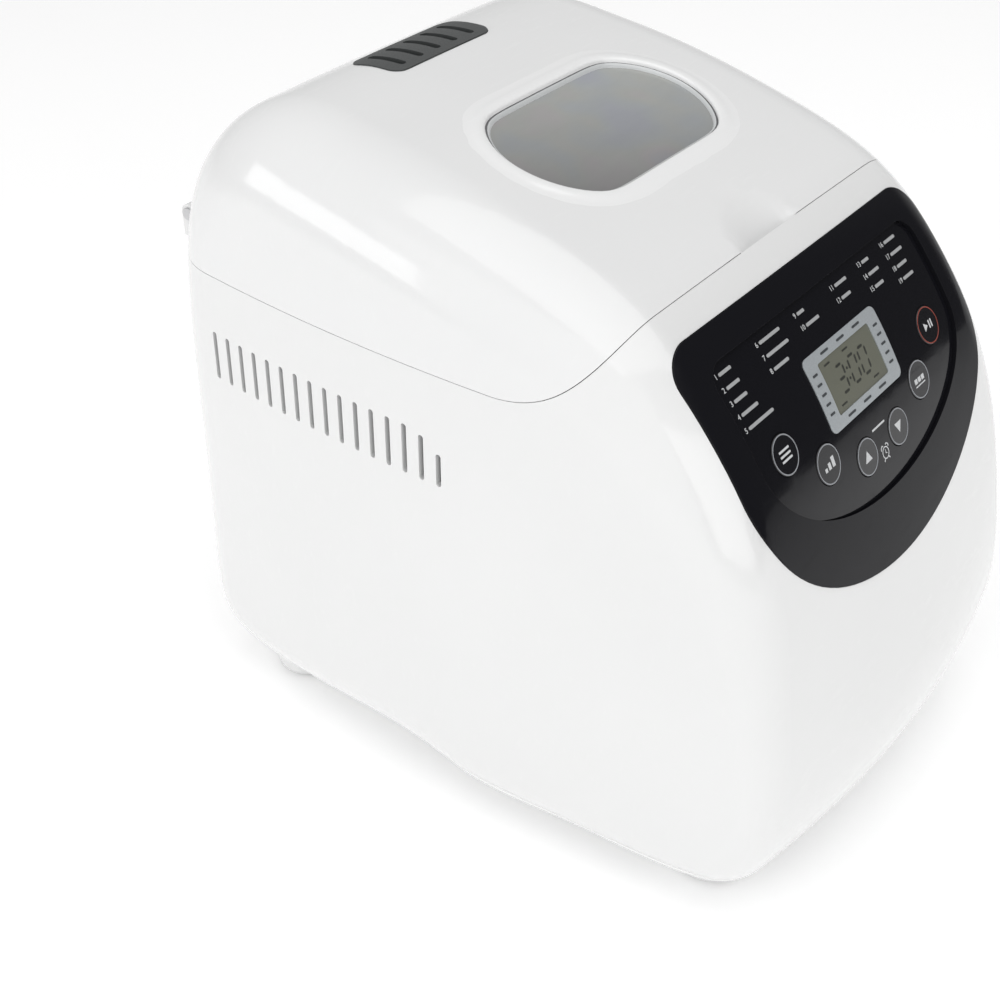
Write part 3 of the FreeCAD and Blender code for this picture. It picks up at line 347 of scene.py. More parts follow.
def brushed_metal(name, base, roughness=0.28, along=(1.0, 60.0, 60.0), depth=0.00002):
    """Bare metal with brush lines along one axis and small dull patches."""
    base = tuple(base)
    made = Finish(name, Metallic=1.0)
    lines = made.noise(40.0, 5.0, 0.7, made.stretched(*along))
    dull = made.noise(35.0, 4.0, 0.6)
    made.set(Base_Color=made.blend(lines * 0.6 + dull * 0.4, shade(base, 0.82), shade(base, 1.1)),
             Roughness=roughness + lines * 0.14 + ((dull - 0.55) * 2.0).held() * 0.2)
    made.bump(lines, depth, 0.5)
    return made.material


def plated_metal(name, base, roughness=0.3):
    """Zinc plate: spangle in the colour and a faint bloom."""
    base = tuple(base)
    made = Finish(name, Metallic=1.0)
    spangle = made.cells(260.0, "Color")
    grey = Wire(made, made.node("ShaderNodeSeparateXYZ", {}, {0: spangle}).outputs[0])
    bloom = made.noise(60.0, 5.0, 0.6)
    made.set(Base_Color=made.blend(grey * 0.5 + bloom * 0.5, shade(base, 0.8), shade(base, 1.15)),
             Roughness=roughness + grey * 0.12 + bloom * 0.1)
    made.bump(made.noise(700.0, 3.0), 0.00003, 0.5)
    return made.material


def cast_metal(name, base, roughness=0.42):
    """Die cast surface: grain, flow patches and darker low spots."""
    base = tuple(base)
    made = Finish(name, Metallic=0.9)
    grain = made.noise(900.0, 4.0, 0.6)
    flow = made.noise(40.0, 5.0, 0.6)
    made.set(Base_Color=made.blend(flow, shade(base, 0.78), shade(base, 1.1)),
             Roughness=roughness + grain * 0.2)
    made.bump(grain + flow * 0.8, 0.00008, 0.7)
    return made.material


def coated_metal(name, base, metallic=0.3, roughness=0.36, speck=0.12):
    """Baked coating over sheet metal: fine orange peel, mineral specks, and dull handling patches."""
    base = tuple(base)
    made = Finish(name, Specular_IOR_Level=0.5)
    specks = ((0.16 - made.cells(700.0)) * 30.0).held() * ((made.noise(160.0, 2.0) - 0.5) * 6.0).held()
    patches = made.noise(28.0, 5.0, 0.6)
    tone = made.blend(patches, shade(base, 0.85), shade(base, 1.18))
    made.set(Base_Color=made.blend(specks * speck * 4.0, tone, shade(base, 3.2)),
             Metallic=metallic + specks * 0.2,
             Roughness=roughness + patches * 0.14)
    made.bump(made.noise(850.0, 3.0) + made.noise(120.0, 2.0) * 0.8, 0.00004, 0.6)
    return made.material


def heater_metal(name, base):
    """Oxidised element sheath: straw to blue-grey heat bands along it."""
    base = tuple(base)
    made = Finish(name, Metallic=0.85)
    heat = made.noise(26.0, 4.0, 0.6)
    made.set(Base_Color=made.ramp(heat, (0.3, shade(base, 0.7)), (0.5, base), (0.62, (0.20, 0.14, 0.08)),
                                  (0.75, (0.10, 0.11, 0.15))),
             Roughness=0.4 + heat * 0.2)
    made.bump(made.noise(1400.0, 3.0), 0.00004, 0.6)
    return made.material


def fired_ceramic(name, base):
    """Unglazed steatite with a chalky grain."""
    base = tuple(base)
    made = Finish(name, Subsurface_Weight=0.05)
    dust = made.noise(300.0, 6.0, 0.7)
    made.set(Base_Color=made.blend(dust, shade(base, 0.86), shade(base, 1.05)), Roughness=0.6 + dust * 0.2)
    made.bump(dust, 0.0001, 0.6)
    return made.material


def circuit_board(name, base):
    """Solder mask over copper: tracks show as slightly lighter, raised lines."""
    base = tuple(base)
    made = Finish(name, Coat_Weight=0.3, Coat_Roughness=0.15)
    lanes = made.cells(190.0, "Distance", "DISTANCE_TO_EDGE")
    tracks = ((0.10 - lanes) * 40.0).held()
    cloud = made.noise(80.0, 3.0)
    mask = made.blend(cloud, shade(base, 0.85), shade(base, 1.1))
    made.set(Base_Color=made.blend(tracks, mask, shade(base, 1.9)), Roughness=0.3 + cloud * 0.1)
    made.bump(tracks, 0.00004, 0.8)
    return made.material


def display_glass(name, base):
    """Liquid crystal cell: a fine grid of cells under a slightly uneven polariser."""
    base = tuple(base)
    made = Finish(name, Coat_Weight=0.5, Coat_Roughness=0.08)
    grid = (made.waves(700.0, "X") * made.waves(700.0, "Z")) * 0.25
    cloud = made.noise(60.0, 3.0)
    made.set(Base_Color=made.blend(grid + cloud * 0.4, shade(base, 0.92), shade(base, 1.12)),
             Roughness=0.22 + cloud * 0.08)
    made.bump(cloud, 0.00001, 0.4)
    return made.material


def satin_paint(name, base):
    """Silver paint with fine flake."""
    base = tuple(base)
    made = Finish(name, Coat_Weight=0.25, Coat_Roughness=0.2)
    flake = made.cells(3200.0, "Color")
    grey = Wire(made, made.node("ShaderNodeSeparateXYZ", {}, {0: flake}).outputs[1])
    made.set(Base_Color=made.blend(grey, shade(base, 0.9), shade(base, 1.1)), Metallic=0.25 + grey * 0.2,
             Roughness=0.36 + grey * 0.1)
    made.bump(made.noise(2600.0, 2.0), 0.00001, 0.5)
    return made.material


def window_finish(name, base, cover):
    """Tinted glass with a painted reflection that lightens it toward the right and rear, a faint oily bloom
    of colour, dust and wipe marks.
    """
    base = tuple(base)
    made = Finish(name, Coat_Weight=1.0, Coat_Roughness=0.04, IOR=1.5)
    bloom = made.noise(24.0, 2.0, 0.5)
    wipes = made.noise(45.0, 5.0, 0.65, made.stretched(1.0, 3.5, 1.0))
    # painted reflection: glow runs across the glass toward +x and +y, and pale blends the tint from half to
    # 1.7 times as bright along it
    glow = (made.axis(0) * 5.0 + made.axis(1) * 9.0 + 0.5).held()
    pale = made.blend(glow, shade(base, 0.5), shade(base, 1.7))
    film = made.ramp(bloom, (0.34, (0.20, 0.23, 0.33)), (0.44, (0.24, 0.29, 0.30)),
                     (0.52, (0.31, 0.32, 0.24)), (0.60, (0.36, 0.27, 0.27)), (0.70, (0.24, 0.25, 0.33)))
    made.set(Base_Color=made.blend(glow * 0.3 + 0.08, pale, film), Roughness=0.16 + wipes * 0.12,
             Alpha=cover + wipes * 0.1)
    made.bump(made.noise(14.0, 1.0), 0.00001, 0.3)
    return made.material


def clear_glass(name, base):
    """Inner pane: nearly clear, with dust and baked-on haze."""
    base = tuple(base)
    made = Finish(name, Coat_Weight=1.0, Coat_Roughness=0.05)
    haze = made.noise(40.0, 5.0, 0.6)
    made.set(Base_Color=made.blend(haze, shade(base, 0.8), base), Roughness=0.1 + haze * 0.1,
             Alpha=0.28 + haze * 0.16)
    made.bump(made.noise(20.0, 1.0), 0.00001, 0.3)
    return made.material


def print_ink(name, base):
    """Screen-printed ink: slightly uneven cover and a matt skin."""
    base = tuple(base)
    made = Finish(name, Specular_IOR_Level=0.4)
    cover = made.noise(1400.0, 4.0, 0.6)
    made.set(Base_Color=made.blend(cover, shade(base, 0.8), shade(base, 1.08)), Roughness=0.45 + cover * 0.15)
    made.bump(cover, 0.00001, 0.5)
    return made.material


def finish_makers():
    """Every finish of the machine: its name, the record's slot, and how it is made."""
    choice = look()
    casing, window, panel, oven = choice.casing, choice.window, choice.panel, choice.oven
    return {
        "casing": ("casing_plastic", gloss_plastic, (casing.casing, 0.15, 0.6)),
        "lid": ("lid_plastic", gloss_plastic, (casing.lid, 0.15, 0.6)),
        # painted highlight: the rim is the lid's own plastic with its colour made 6% lighter, so the raised
        # halo round the window reads brighter than the lid
        "rim": ("lid_plastic", gloss_plastic, (shade(tuple(casing.lid), 1.06), 0.15, 0.6)),
        "frame_gloss": ("panel_gloss", gloss_plastic, (panel.frame, 0.10, 0.10, 0.000006, 0.10, 0.08)),
        "film_gloss": ("film_gloss", gloss_plastic, (panel.film, 0.09, 0.15, 0.000004, 0.08, 0.2)),
        "key_gloss": ("button_gloss", gloss_plastic, (panel.film, 0.10, 0.4, 0.000006, 0.14, 0.35)),
        "bezel": ("bezel_silver", satin_paint, (panel.bezel,)),
        "display": ("display_lcd", display_glass, (panel.glass,)),
        "segments": ("display_lcd", print_ink, ((0.028, 0.03, 0.024),)),
        "tick_ink": ("film_gloss", print_ink, ((0.05, 0.055, 0.06),)),
        "light_ink": ("panel_gloss", print_ink, (panel.ink,)),
        "bar_ink": ("panel_gloss", print_ink, (shade(tuple(panel.ink), 0.62),)),
        "ring_ink": ("button_gloss", print_ink, (panel.ring,)),
        "start_ink": ("button_gloss", print_ink, (panel.start,)),
        "vent": ("vent_grey", grained_plastic, (casing.vent, 0.42)),
        "gasket": ("vent_grey", rubber, ((0.10, 0.10, 0.105),)),
        "window": ("window_glass", window_finish, (window.tint, window.cover)),
        "window_edge": ("window_glass", gloss_plastic, ((0.60, 0.615, 0.62), 0.14, 0.7)),
        "inner_glass": ("liner_glass", clear_glass, ((0.7, 0.72, 0.73),)),
        "pad_rubber": ("black_rubber", rubber, ((0.02, 0.02, 0.02),)),
        "silicone": ("silicone", rubber, ((0.42, 0.43, 0.43), 0.5)),
        "steel": ("steel", brushed_metal, ((0.60, 0.60, 0.61),)),
        "liner_steel": ("steel", brushed_metal, ((0.56, 0.56, 0.57), 0.34, (60.0, 1.0, 60.0))),
        "zinc": ("zinc_steel", plated_metal, ((0.52, 0.52, 0.51),)),
        "chamber": ("chamber_steel", coated_metal, (oven.chamber, 0.55, 0.34, 0.04)),
        "sheath": ("element_metal", heater_metal, ((0.13, 0.12, 0.115),)),
        "ceramic": ("ceramic", fired_ceramic, ((0.80, 0.77, 0.70),)),
        "coating": ("pan_coating", coated_metal, (oven.coating, 0.35, 0.36, 0.16)),
        "cast": ("cast_metal", cast_metal, ((0.60, 0.60, 0.61),)),
        "nylon": ("pulley_plastic", grained_plastic, ((0.62, 0.60, 0.54), 0.4, 1100.0, 0.00004)),
        "belt": ("belt_rubber", rubber, ((0.022, 0.022, 0.023),)),
        "motor_can": ("motor_metal", plated_metal, ((0.34, 0.35, 0.37), 0.34)),
        "bronze": ("brass", cast_metal, ((0.62, 0.44, 0.20), 0.34)),
        "board": ("board_green", circuit_board, ((0.02, 0.11, 0.045),)),
        "component": ("component_black", grained_plastic, ((0.028, 0.028, 0.03), 0.5, 1900.0, 0.00003)),
        "solder": ("zinc_steel", plated_metal, ((0.66, 0.66, 0.64), 0.22)),
        "gland": ("vent_grey", grained_plastic, (casing.vent, 0.5)),
    }


MADE = {}


def finish(name):
    """The material of that name and its slot; each is made once."""
    if name not in MADE:
        slot, maker, values = finish_makers()[name]
        MADE[name] = (maker(name, *values), slot)
    return MADE[name]


# ---- meshes ---------------------------------------------------------------------------------------
def piece(name, mesh, body, finish_name, stands_for=()):
    """Links a finished mesh as a piece of the machine."""
    made = bpy.data.objects.new(name, mesh)
    bpy.context.scene.collection.objects.link(made)
    material, slot = finish(finish_name)
    mesh.materials.clear()
    mesh.materials.append(material)
    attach(made, body)
    if stands_for:
        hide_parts(*stands_for)
    return made


def to_mesh(name, work, sharp=30.0, outward=False):
    """Turns a bmesh into a mesh with smooth faces and crisp edges above the angle."""
    if outward:
        bmesh.ops.recalc_face_normals(work, faces=work.faces)
    limit = math.radians(sharp)
    for face in work.faces:
        face.smooth = True
    for edge in work.edges:
        edge.smooth = len(edge.link_faces) == 2 and edge.calc_face_angle(0.0) < limit
    mesh = bpy.data.meshes.new(name)
    work.to_mesh(mesh)
    work.free()
    return mesh


def copied(node, weld=0.00002):
    """The CAD node's triangles, joined along their common corners."""
    work = bmesh.new()
    work.from_mesh(NODES[node].data)
    bmesh.ops.remove_doubles(work, verts=work.verts, dist=weld)
    bmesh.ops.dissolve_degenerate(work, edges=work.edges, dist=0.000002)
    return work


def with_modifiers(made):
    """Applies the modifiers that are on a piece."""
    seen = made.evaluated_get(bpy.context.evaluated_depsgraph_get())
    mesh = bpy.data.meshes.new_from_object(seen)
    made.modifiers.clear()
    old = made.data
    made.data = mesh
    bpy.data.meshes.remove(old)
    return made


def moulded(node, finish_name, radius=0.0004, sharp=32.0, steps=2, name=None):
    """A piece with the CAD node's form, smooth faces and rounded edges, standing for that node."""
    work = copied(node)
    bmesh.ops.dissolve_limit(work, angle_limit=math.radians(0.2), verts=work.verts, edges=work.edges)
    mesh = to_mesh(name or node + "_skin", work, sharp)
    made = piece(name or node + "_skin", mesh, body_of(node), finish_name, (node,))
    if radius:
        bevel = made.modifiers.new("edges", "BEVEL")
        bevel.width = radius
        bevel.segments = steps
        bevel.limit_method = "ANGLE"
        bevel.angle_limit = math.radians(sharp)
        bevel.use_clamp_overlap = True
        bevel.harden_normals = False
        with_modifiers(made)
        for polygon in made.data.polygons:
            polygon.use_smooth = True
    return made


def strip_loft(work, loops, closed=True, round_trip=False):
    """Joins rows of points with faces; each row is a ring when closed, and the last may join the first."""
    rows = [[work.verts.new(p) for p in loop] for loop in loops]
    count = len(rows[0])
    pairs = list(zip(rows, rows[1:]))
    if round_trip:
        pairs.append((rows[-1], rows[0]))
    for lower, upper in pairs:
        for i in range(count if closed else count - 1):
            j = (i + 1) % count
            work.faces.new((lower[i], lower[j], upper[j], upper[i]))
    return rows


def cap(work, row, centre, flip=False):
    """Closes a ring with triangles to one point."""
    tip = work.verts.new(centre)
    for i, vert in enumerate(row):
        after = row[(i + 1) % len(row)]
        work.faces.new((after, vert, tip) if flip else (vert, after, tip))


def rounded_ring(half_x, half_y, radius, steps=10, runs=6):
    """Points round a rounded rectangle, anticlockwise from above."""
    ring = []
    corners = [(1, 1, 0), (-1, 1, 90), (-1, -1, 180), (1, -1, 270)]
    for index, (sx, sy, start) in enumerate(corners):
        cx, cy = sx * (half_x - radius), sy * (half_y - radius)
        for k in range(steps + 1):
            turn = math.radians(start + 90.0 * k / steps)
            ring.append((cx + radius * math.cos(turn), cy + radius * math.sin(turn)))
        nx, ny, begin = corners[(index + 1) % 4]
        first = ring[-1]
        turn = math.radians(begin)
        last = (nx * (half_x - radius) + radius * math.cos(turn),
                ny * (half_y - radius) + radius * math.sin(turn))
        for k in range(1, runs):
            ring.append((first[0] + (last[0] - first[0]) * k / runs,
                         first[1] + (last[1] - first[1]) * k / runs))
    return ring


def sweep(work, path, profile):
    """Runs an outline of (outward, up) distances round a closed level path, anticlockwise from above."""
    loops = []
    count = len(path)
    for i, point in enumerate(path):
        along = (path[(i + 1) % count] - path[i - 1]).normalized()
        out = along.cross(UP)
        loops.append([point + out * across + UP * rise for across, rise in profile])
    strip_loft(work, loops, True, True)


def level_ring(half_x, half_y, radius, centre, height, steps=10, runs=6):
    ring = rounded_ring(half_x, half_y, radius, steps, runs)
    return [Vector((centre.x + x, centre.y + y, height)) for x, y in ring]


def islands(node):
    """The corner points of each separate solid of a CAD node."""
    work = copied(node)
    seen, found = set(), []
    for vert in work.verts:
        if vert in seen:
            continue
        seen.add(vert)
        waiting, group = [vert], []
        while waiting:
            here = waiting.pop()
            group.append(here.co.copy())
            for edge in here.link_edges:
                other = edge.other_vert(here)
                if other not in seen:
                    seen.add(other)
                    waiting.append(other)
        found.append(group)
    work.free()
    return found


def lathe(work, profile, centre, axis=UP, steps=64):
    """Turns a closed or pole-to-pole outline of (radius, height) round an axis through the centre."""
    turn = UP.rotation_difference(axis.normalized()).to_matrix()
    rings = []
    for radius, height in profile:
        if radius <= TINY:
            rings.append([work.verts.new(centre + turn @ Vector((0, 0, height)))])
            continue
        ring = []
        for k in range(steps):
            angle = 2 * math.pi * k / steps
            spot = Vector((radius * math.cos(angle), radius * math.sin(angle), height))
            ring.append(work.verts.new(centre + turn @ spot))
        rings.append(ring)
    pairs = list(zip(rings, rings[1:]))
    if profile[0][0] > TINY and profile[-1][0] > TINY:
        pairs.append((rings[-1], rings[0]))
    for a, b in pairs:
        for k in range(steps):
            after = (k + 1) % steps
            if len(a) == 1 and len(b) == 1:
                continue
            if len(a) == 1:
                work.faces.new((a[0], b[after], b[k]))
            elif len(b) == 1:
                work.faces.new((a[k], a[after], b[0]))
            else:
                work.faces.new((a[k], a[after], b[after], b[k]))


def tree_of(node):
    """A search tree over a CAD node's faces."""
    mesh = NODES[node].data
    return BVHTree.FromPolygons([v.co for v in mesh.vertices], [p.vertices for p in mesh.polygons])


# ---- repeats made with geometry nodes -------------------------------------------------------------
class Repeat:
    """A geometry node tree that sets one small shape on every point of a mesh.

    Each point's turn attribute is its rotation and its size attribute scales the shape."""

    def __init__(self, name, shape, finish_name):
        self.tree = bpy.data.node_groups.new(name, "GeometryNodeTree")
        face = self.tree.interface
        face.new_socket("Points", in_out="INPUT", socket_type="NodeSocketGeometry")
        face.new_socket("Size", in_out="INPUT", socket_type="NodeSocketFloat")
        face.new_socket("Seed", in_out="INPUT", socket_type="NodeSocketInt")
        face.new_socket("Play", in_out="INPUT", socket_type="NodeSocketFloat")
        face.new_socket("Result", in_out="OUTPUT", socket_type="NodeSocketGeometry")
        add = self.tree.nodes.new
        link = self.tree.links.new
        start, end = add("NodeGroupInput"), add("NodeGroupOutput")
        source = add("GeometryNodeObjectInfo")
        source.inputs["Object"].default_value = shape
        source.inputs["As Instance"].default_value = True
        turn, size = add("GeometryNodeInputNamedAttribute"), add("GeometryNodeInputNamedAttribute")
        turn.data_type, size.data_type = "FLOAT_VECTOR", "FLOAT_VECTOR"
        turn.inputs["Name"].default_value = "turn"
        size.inputs["Name"].default_value = "size"
        spin = add("FunctionNodeRandomValue")
        spin.data_type = "FLOAT"
        link(start.outputs["Seed"], spin.inputs["Seed"])
        low = add("ShaderNodeMath")
        low.operation = "MULTIPLY"
        low.inputs[1].default_value = -1.0
        link(start.outputs["Play"], low.inputs[0])
        link(low.outputs[0], spin.inputs[2])
        link(start.outputs["Play"], spin.inputs[3])
        twist = add("ShaderNodeCombineXYZ")
        link(spin.outputs[1], twist.inputs["Z"])
        own = add("FunctionNodeRotateEuler")
        own.rotation_type = "EULER"
        own.space = "LOCAL"
        link(turn.outputs["Attribute"], own.inputs["Rotation"])
        link(twist.outputs[0], own.inputs["Rotate By"])
        scale = add("ShaderNodeVectorMath")
        scale.operation = "SCALE"
        link(size.outputs["Attribute"], scale.inputs[0])
        link(start.outputs["Size"], scale.inputs["Scale"])
        place = add("GeometryNodeInstanceOnPoints")
        link(start.outputs["Points"], place.inputs["Points"])
        link(source.outputs["Geometry"], place.inputs["Instance"])
        link(own.outputs[0], place.inputs["Rotation"])
        link(scale.outputs[0], place.inputs["Scale"])
        real = add("GeometryNodeRealizeInstances")
        link(place.outputs[0], real.inputs[0])
        cover = add("GeometryNodeSetMaterial")
        cover.inputs["Material"].default_value = finish(finish_name)[0]
        link(real.outputs[0], cover.inputs["Geometry"])
        link(cover.outputs[0], end.inputs[0])
        self.sockets = {item.name: item.identifier for item in face.items_tree if item.in_out == "INPUT"}


def repeated(name, spots, shape_mesh, body, finish_name, stands_for=(), size=1.0, seed=1, play=0.0):
    """One piece that holds the shape at every spot; a spot is (place, rotation matrix, scale vector)."""
    shape = bpy.data.objects.new(name + "_shape", shape_mesh)
    bpy.context.scene.collection.objects.link(shape)
    points = bpy.data.meshes.new(name + "_points")
    points.from_pydata([tuple(s[0]) for s in spots], [], [])
    turns = points.attributes.new("turn", "FLOAT_VECTOR", "POINT")
    sizes = points.attributes.new("size", "FLOAT_VECTOR", "POINT")
    for index, (_, turn, scale) in enumerate(spots):
        turns.data[index].vector = turn.to_euler()
        sizes.data[index].vector = scale
    holder = bpy.data.objects.new(name + "_holder", points)
    bpy.context.scene.collection.objects.link(holder)
    repeat = Repeat(name, shape, finish_name)
    live = holder.modifiers.new("repeat", "NODES")
    live.node_group = repeat.tree
    live[repeat.sockets["Size"]] = size
    live[repeat.sockets["Seed"]] = seed
    live[repeat.sockets["Play"]] = play
    bpy.context.view_layer.update()
    seen = holder.evaluated_get(bpy.context.evaluated_depsgraph_get())
    mesh = bpy.data.meshes.new_from_object(seen)
    holder.modifiers.clear()
    bpy.data.objects.remove(holder)
    bpy.data.objects.remove(shape)
    mesh.name = name
    for attribute in ("turn", "size"):
        if attribute in mesh.attributes:
            mesh.attributes.remove(mesh.attributes[attribute])
    return piece(name, mesh, body, finish_name, stands_for)


def bar_shape(name, bevel=0.25, rows=4):
    """A unit bar along x with rounded ends, one unit high, for print marks."""
    work = bmesh.new()
    outline = []
    for side in (1, -1):
        for k in range(rows + 1):
            turn = math.pi * k / rows - math.pi / 2
            x = side * (0.5 - bevel) + side * bevel * math.cos(turn)
            outline.append((x, side * 0.5 * math.sin(turn)))
    flat_solid(work, outline, 1.0)
    return to_mesh(name, work, 40.0, True)


def screw_mesh(name, head_radius, head_height, shank_radius, reach, pitch=0.0007):
    """A pan-head screw, its head's outer face on z = 0 and its threaded shank upward, with a cross recess."""
    steps = 32
    turns = [2 * math.pi * k / steps for k in range(steps)]

    def ring(radius, height):
        return [Vector((radius * math.cos(t), radius * math.sin(t), height)) for t in turns]

    def cross(arm, waist, height):
        return [Vector((math.cos(t), math.sin(t), 0)) * (arm if abs(math.cos(2 * t)) > 0.9 else waist)
                + UP * height for t in turns]

    rows = [cross(0.40 * head_radius, 0.13 * head_radius, head_height * 0.55),
            cross(0.52 * head_radius, 0.17 * head_radius, 0.0),
            ring(0.70 * head_radius, 0.0), ring(0.88 * head_radius, 0.08 * head_height),
            ring(0.97 * head_radius, 0.3 * head_height), ring(head_radius, 0.6 * head_height),
            ring(head_radius, head_height), ring(shank_radius, head_height)]
    height = head_height + pitch
    while height < reach - pitch:
        rows += [ring(shank_radius * 0.84, height), ring(shank_radius, height + pitch / 2)]
        height += pitch
    rows.append(ring(shank_radius * 0.6, reach))
    work = bmesh.new()
    made = strip_loft(work, rows)
    cap(work, made[0], (0, 0, head_height * 0.6))
    cap(work, made[-1], (0, 0, reach), True)
    return to_mesh(name, work, 28.0, True)


def screws(node, finish_name, axis=UP):
    """Screws in place of a CAD node's solids, their heads at the low end of the axis."""
    axis = axis.normalized()
    turn = UP.rotation_difference(axis).to_matrix()
    spots = []
    for group in islands(node):
        along = [p.dot(axis) for p in group]
        low, high = min(along), max(along)
        centre = sum(group, Vector()) / len(group)
        across = [(p - centre) - axis * (p - centre).dot(axis) for p in group]
        head = max(a.length for a in across)
        tip = [a.length for a, q in zip(across, along) if q > high - 0.0002]
        neck = [q for a, q in zip(across, along) if a.length > head * 0.9]
        spots.append((centre - axis * (centre.dot(axis) - low), turn, (1.0, 1.0, 1.0)))
    shape = screw_mesh(node + "_shape", head, max(neck) - low, max(tip), high - low)
    return repeated(node + "_threaded", spots, shape, body_of(node), finish_name, (node,), play=1.5)


# ---- the panel's own directions -------------------------------------------------------------------
class PanelPlace:
    """Turns a distance across and down the control panel into a point on its surface."""

    def __init__(self):
        tilt = look().panel.tilt
        self.centre = middle("display_bezel")
        self.across = Vector((1.0, 0.0, 0.0))
        self.down = Vector((0.0, -math.cos(tilt), -math.sin(tilt)))
        self.out = Vector((0.0, -math.sin(tilt), math.cos(tilt)))
        self.trees = {}

    def plane(self, x, down_by, out=0.0):
        return self.centre + self.across * x + self.down * down_by + self.out * out

    def hit(self, x, down_by, node):
        if node not in self.trees:
            self.trees[node] = tree_of(node)
        place, normal, _, _ = self.trees[node].ray_cast(self.plane(x, down_by, 0.04), -self.out)
        if place is None:
            raise RuntimeError("nothing of %s lies under the print at %.4f, %.4f" % (node, x, down_by))
        return place, normal

    def wrap(self, mesh, node, lift):
        """Moves a flat mesh, x across and y up the slope, on to a node's surface; z is its thickness."""
        for vert in mesh.vertices:
            place, normal = self.hit(vert.co.x, -vert.co.y, node)
            vert.co = place + normal * (lift + vert.co.z)
        mesh.update()

    def spot(self, x, down_by, node, scale):
        """A place on a node's surface, the turn that lays a mark along it, and the mark's size."""
        place, normal = self.hit(x, down_by, node)
        across = (self.across - normal * self.across.dot(normal)).normalized()
        turn = Matrix((across, normal.cross(across), normal)).transposed()
        return place - normal * 0.00002, turn, scale

    def lay(self, work, node, name, body, ink, outward=True, reach=PRINT_STEP):
        """Turns flat marks into a piece that follows a node's surface."""
        fine(work, reach)
        mesh = to_mesh(name, work, 40.0, outward)
        self.wrap(mesh, node, PRINT_GAP)
        piece(name, mesh, body, ink)


def flat_solid(work, outline, thickness, inner=None):
    """A thin plate from an outline, or a ring between two outlines, with its lower face on z = 0."""
    if inner is None:
        upper = [work.verts.new((x, y, thickness)) for x, y in outline]
        lower = [work.verts.new((x, y, 0.0)) for x, y in outline]
        work.faces.new(upper)
        work.faces.new(lower[::-1])
        for i in range(len(outline)):
            j = (i + 1) % len(outline)
            work.faces.new((lower[i], lower[j], upper[j], upper[i]))
        return
    strip_loft(work, [[(x, y, 0.0) for x, y in outline], [(x, y, thickness) for x, y in outline],
                      [(x, y, thickness) for x, y in inner], [(x, y, 0.0) for x, y in inner]], True, True)


def circle(radius, x=0.0, y=0.0, steps=48, start=0.0, sweep=360.0):
    closed = sweep >= 360.0
    count = steps if closed else steps + 1
    return [(x + radius * math.cos(math.radians(start + sweep * k / steps)),
             y + radius * math.sin(math.radians(start + sweep * k / steps))) for k in range(count)]


def band(work, points, width, thickness):
    """A thin stroke of constant width along a polyline."""
    left, right = [], []
    for i, point in enumerate(points):
        before = Vector(points[max(i - 1, 0)])
        after = Vector(points[min(i + 1, len(points) - 1)])
        along = (after - before).normalized()
        side = Vector((-along.y, along.x)) * width / 2
        left.append(tuple(Vector(point) + side))
        right.append(tuple(Vector(point) - side))
    flat_solid(work, left + right[::-1], thickness)


def fine(work, reach):
    """Splits long edges, so that a flat mark can follow a curved surface."""
    bmesh.ops.triangulate(work, faces=[f for f in work.faces if len(f.verts) > 4])
    for _ in range(3):
        long_edges = [e for e in work.edges if e.calc_length() > reach]
        if not long_edges:
            return
        bmesh.ops.subdivide_edges(work, edges=long_edges, cuts=1)
        bmesh.ops.triangulate(work, faces=[f for f in work.faces if len(f.verts) > 3])


def numeral_mesh(text, height, x, y, thickness, slant=0.0):
    """Generic digits as a thin solid, lower left corner at x, y."""
    curve = bpy.data.curves.new("numeral", "FONT")
    curve.body = text
    curve.size = height / 0.7
    curve.shear = slant
    curve.resolution_u = 3
    curve.extrude = thickness / 2
    holder = bpy.data.objects.new("numeral", curve)
    bpy.context.scene.collection.objects.link(holder)
    bpy.context.view_layer.update()
    mesh = bpy.data.meshes.new_from_object(holder.evaluated_get(bpy.context.evaluated_depsgraph_get()))
    bpy.data.objects.remove(holder)
    bpy.data.curves.remove(curve)
    mesh.transform(Matrix.Translation((x, y, thickness / 2)))
    return mesh


# ---- casing, base, lid ----------------------------------------------------------------------------
class BREAD_OT_casing(Operator):
    """Builds the white casing, the base, the deck round the oven mouth and the feet"""

    bl_idname = "bread.casing"
    bl_label = "Casing"

    # a pad's half section, as shares of its radius and its height
    pad_outline = ((0.0, 0.0), (0.30, 0.0), (0.34, 0.3), (0.40, 0.3), (0.44, 0.0), (0.62, 0.0), (0.66, 0.3),
                   (0.72, 0.3), (0.76, 0.0), (0.93, 0.0), (0.99, 0.2), (1.0, 0.4), (1.0, 1.0), (0.0, 1.0))

    def execute(self, context):
        edge = look().casing.edge
        for node in ("body_shell", "base_tray", "top_deck"):
            moulded(node, "casing", edge)
        moulded("cord_gland", "gland", edge)
        self.feet()
        return {"FINISHED"}

    def feet(self):
        """Rubber pads with two moulded grip rings underneath."""
        low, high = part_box("foot_pads")
        work = bmesh.new()
        for group in islands("foot_pads"):
            centre = sum(group, Vector()) / len(group)
            radius = max((p - centre).xy.length for p in group)
            tall = high.z - low.z
            outline = [(radius * across, tall * rise) for across, rise in self.pad_outline]
            lathe(work, outline, Vector((centre.x, centre.y, low.z)))
        mesh = to_mesh("foot_pads_ringed", work, 35.0, True)
        piece("foot_pads_ringed", mesh, body_of("foot_pads"), "pad_rubber", ("foot_pads",))


class BREAD_OT_lid(Operator):
    """Builds the lid shell, vent grille, steel liner, seal, screws and hinges"""

    bl_idname = "bread.lid"
    bl_label = "Lid"

    def execute(self, context):
        edge = look().casing.edge
        moulded("lid_shell", "lid", edge)
        moulded("vent_grille", "vent", edge * 0.6)
        moulded("lid_liner", "liner_steel", edge * 0.5)
        moulded("lid_seal", "silicone", edge * 0.4)
        moulded("hinge_brackets", "casing", edge)
        moulded("hinge_pins", "steel", edge * 0.5)
        screws("lid_screws", "zinc")
        return {"FINISHED"}


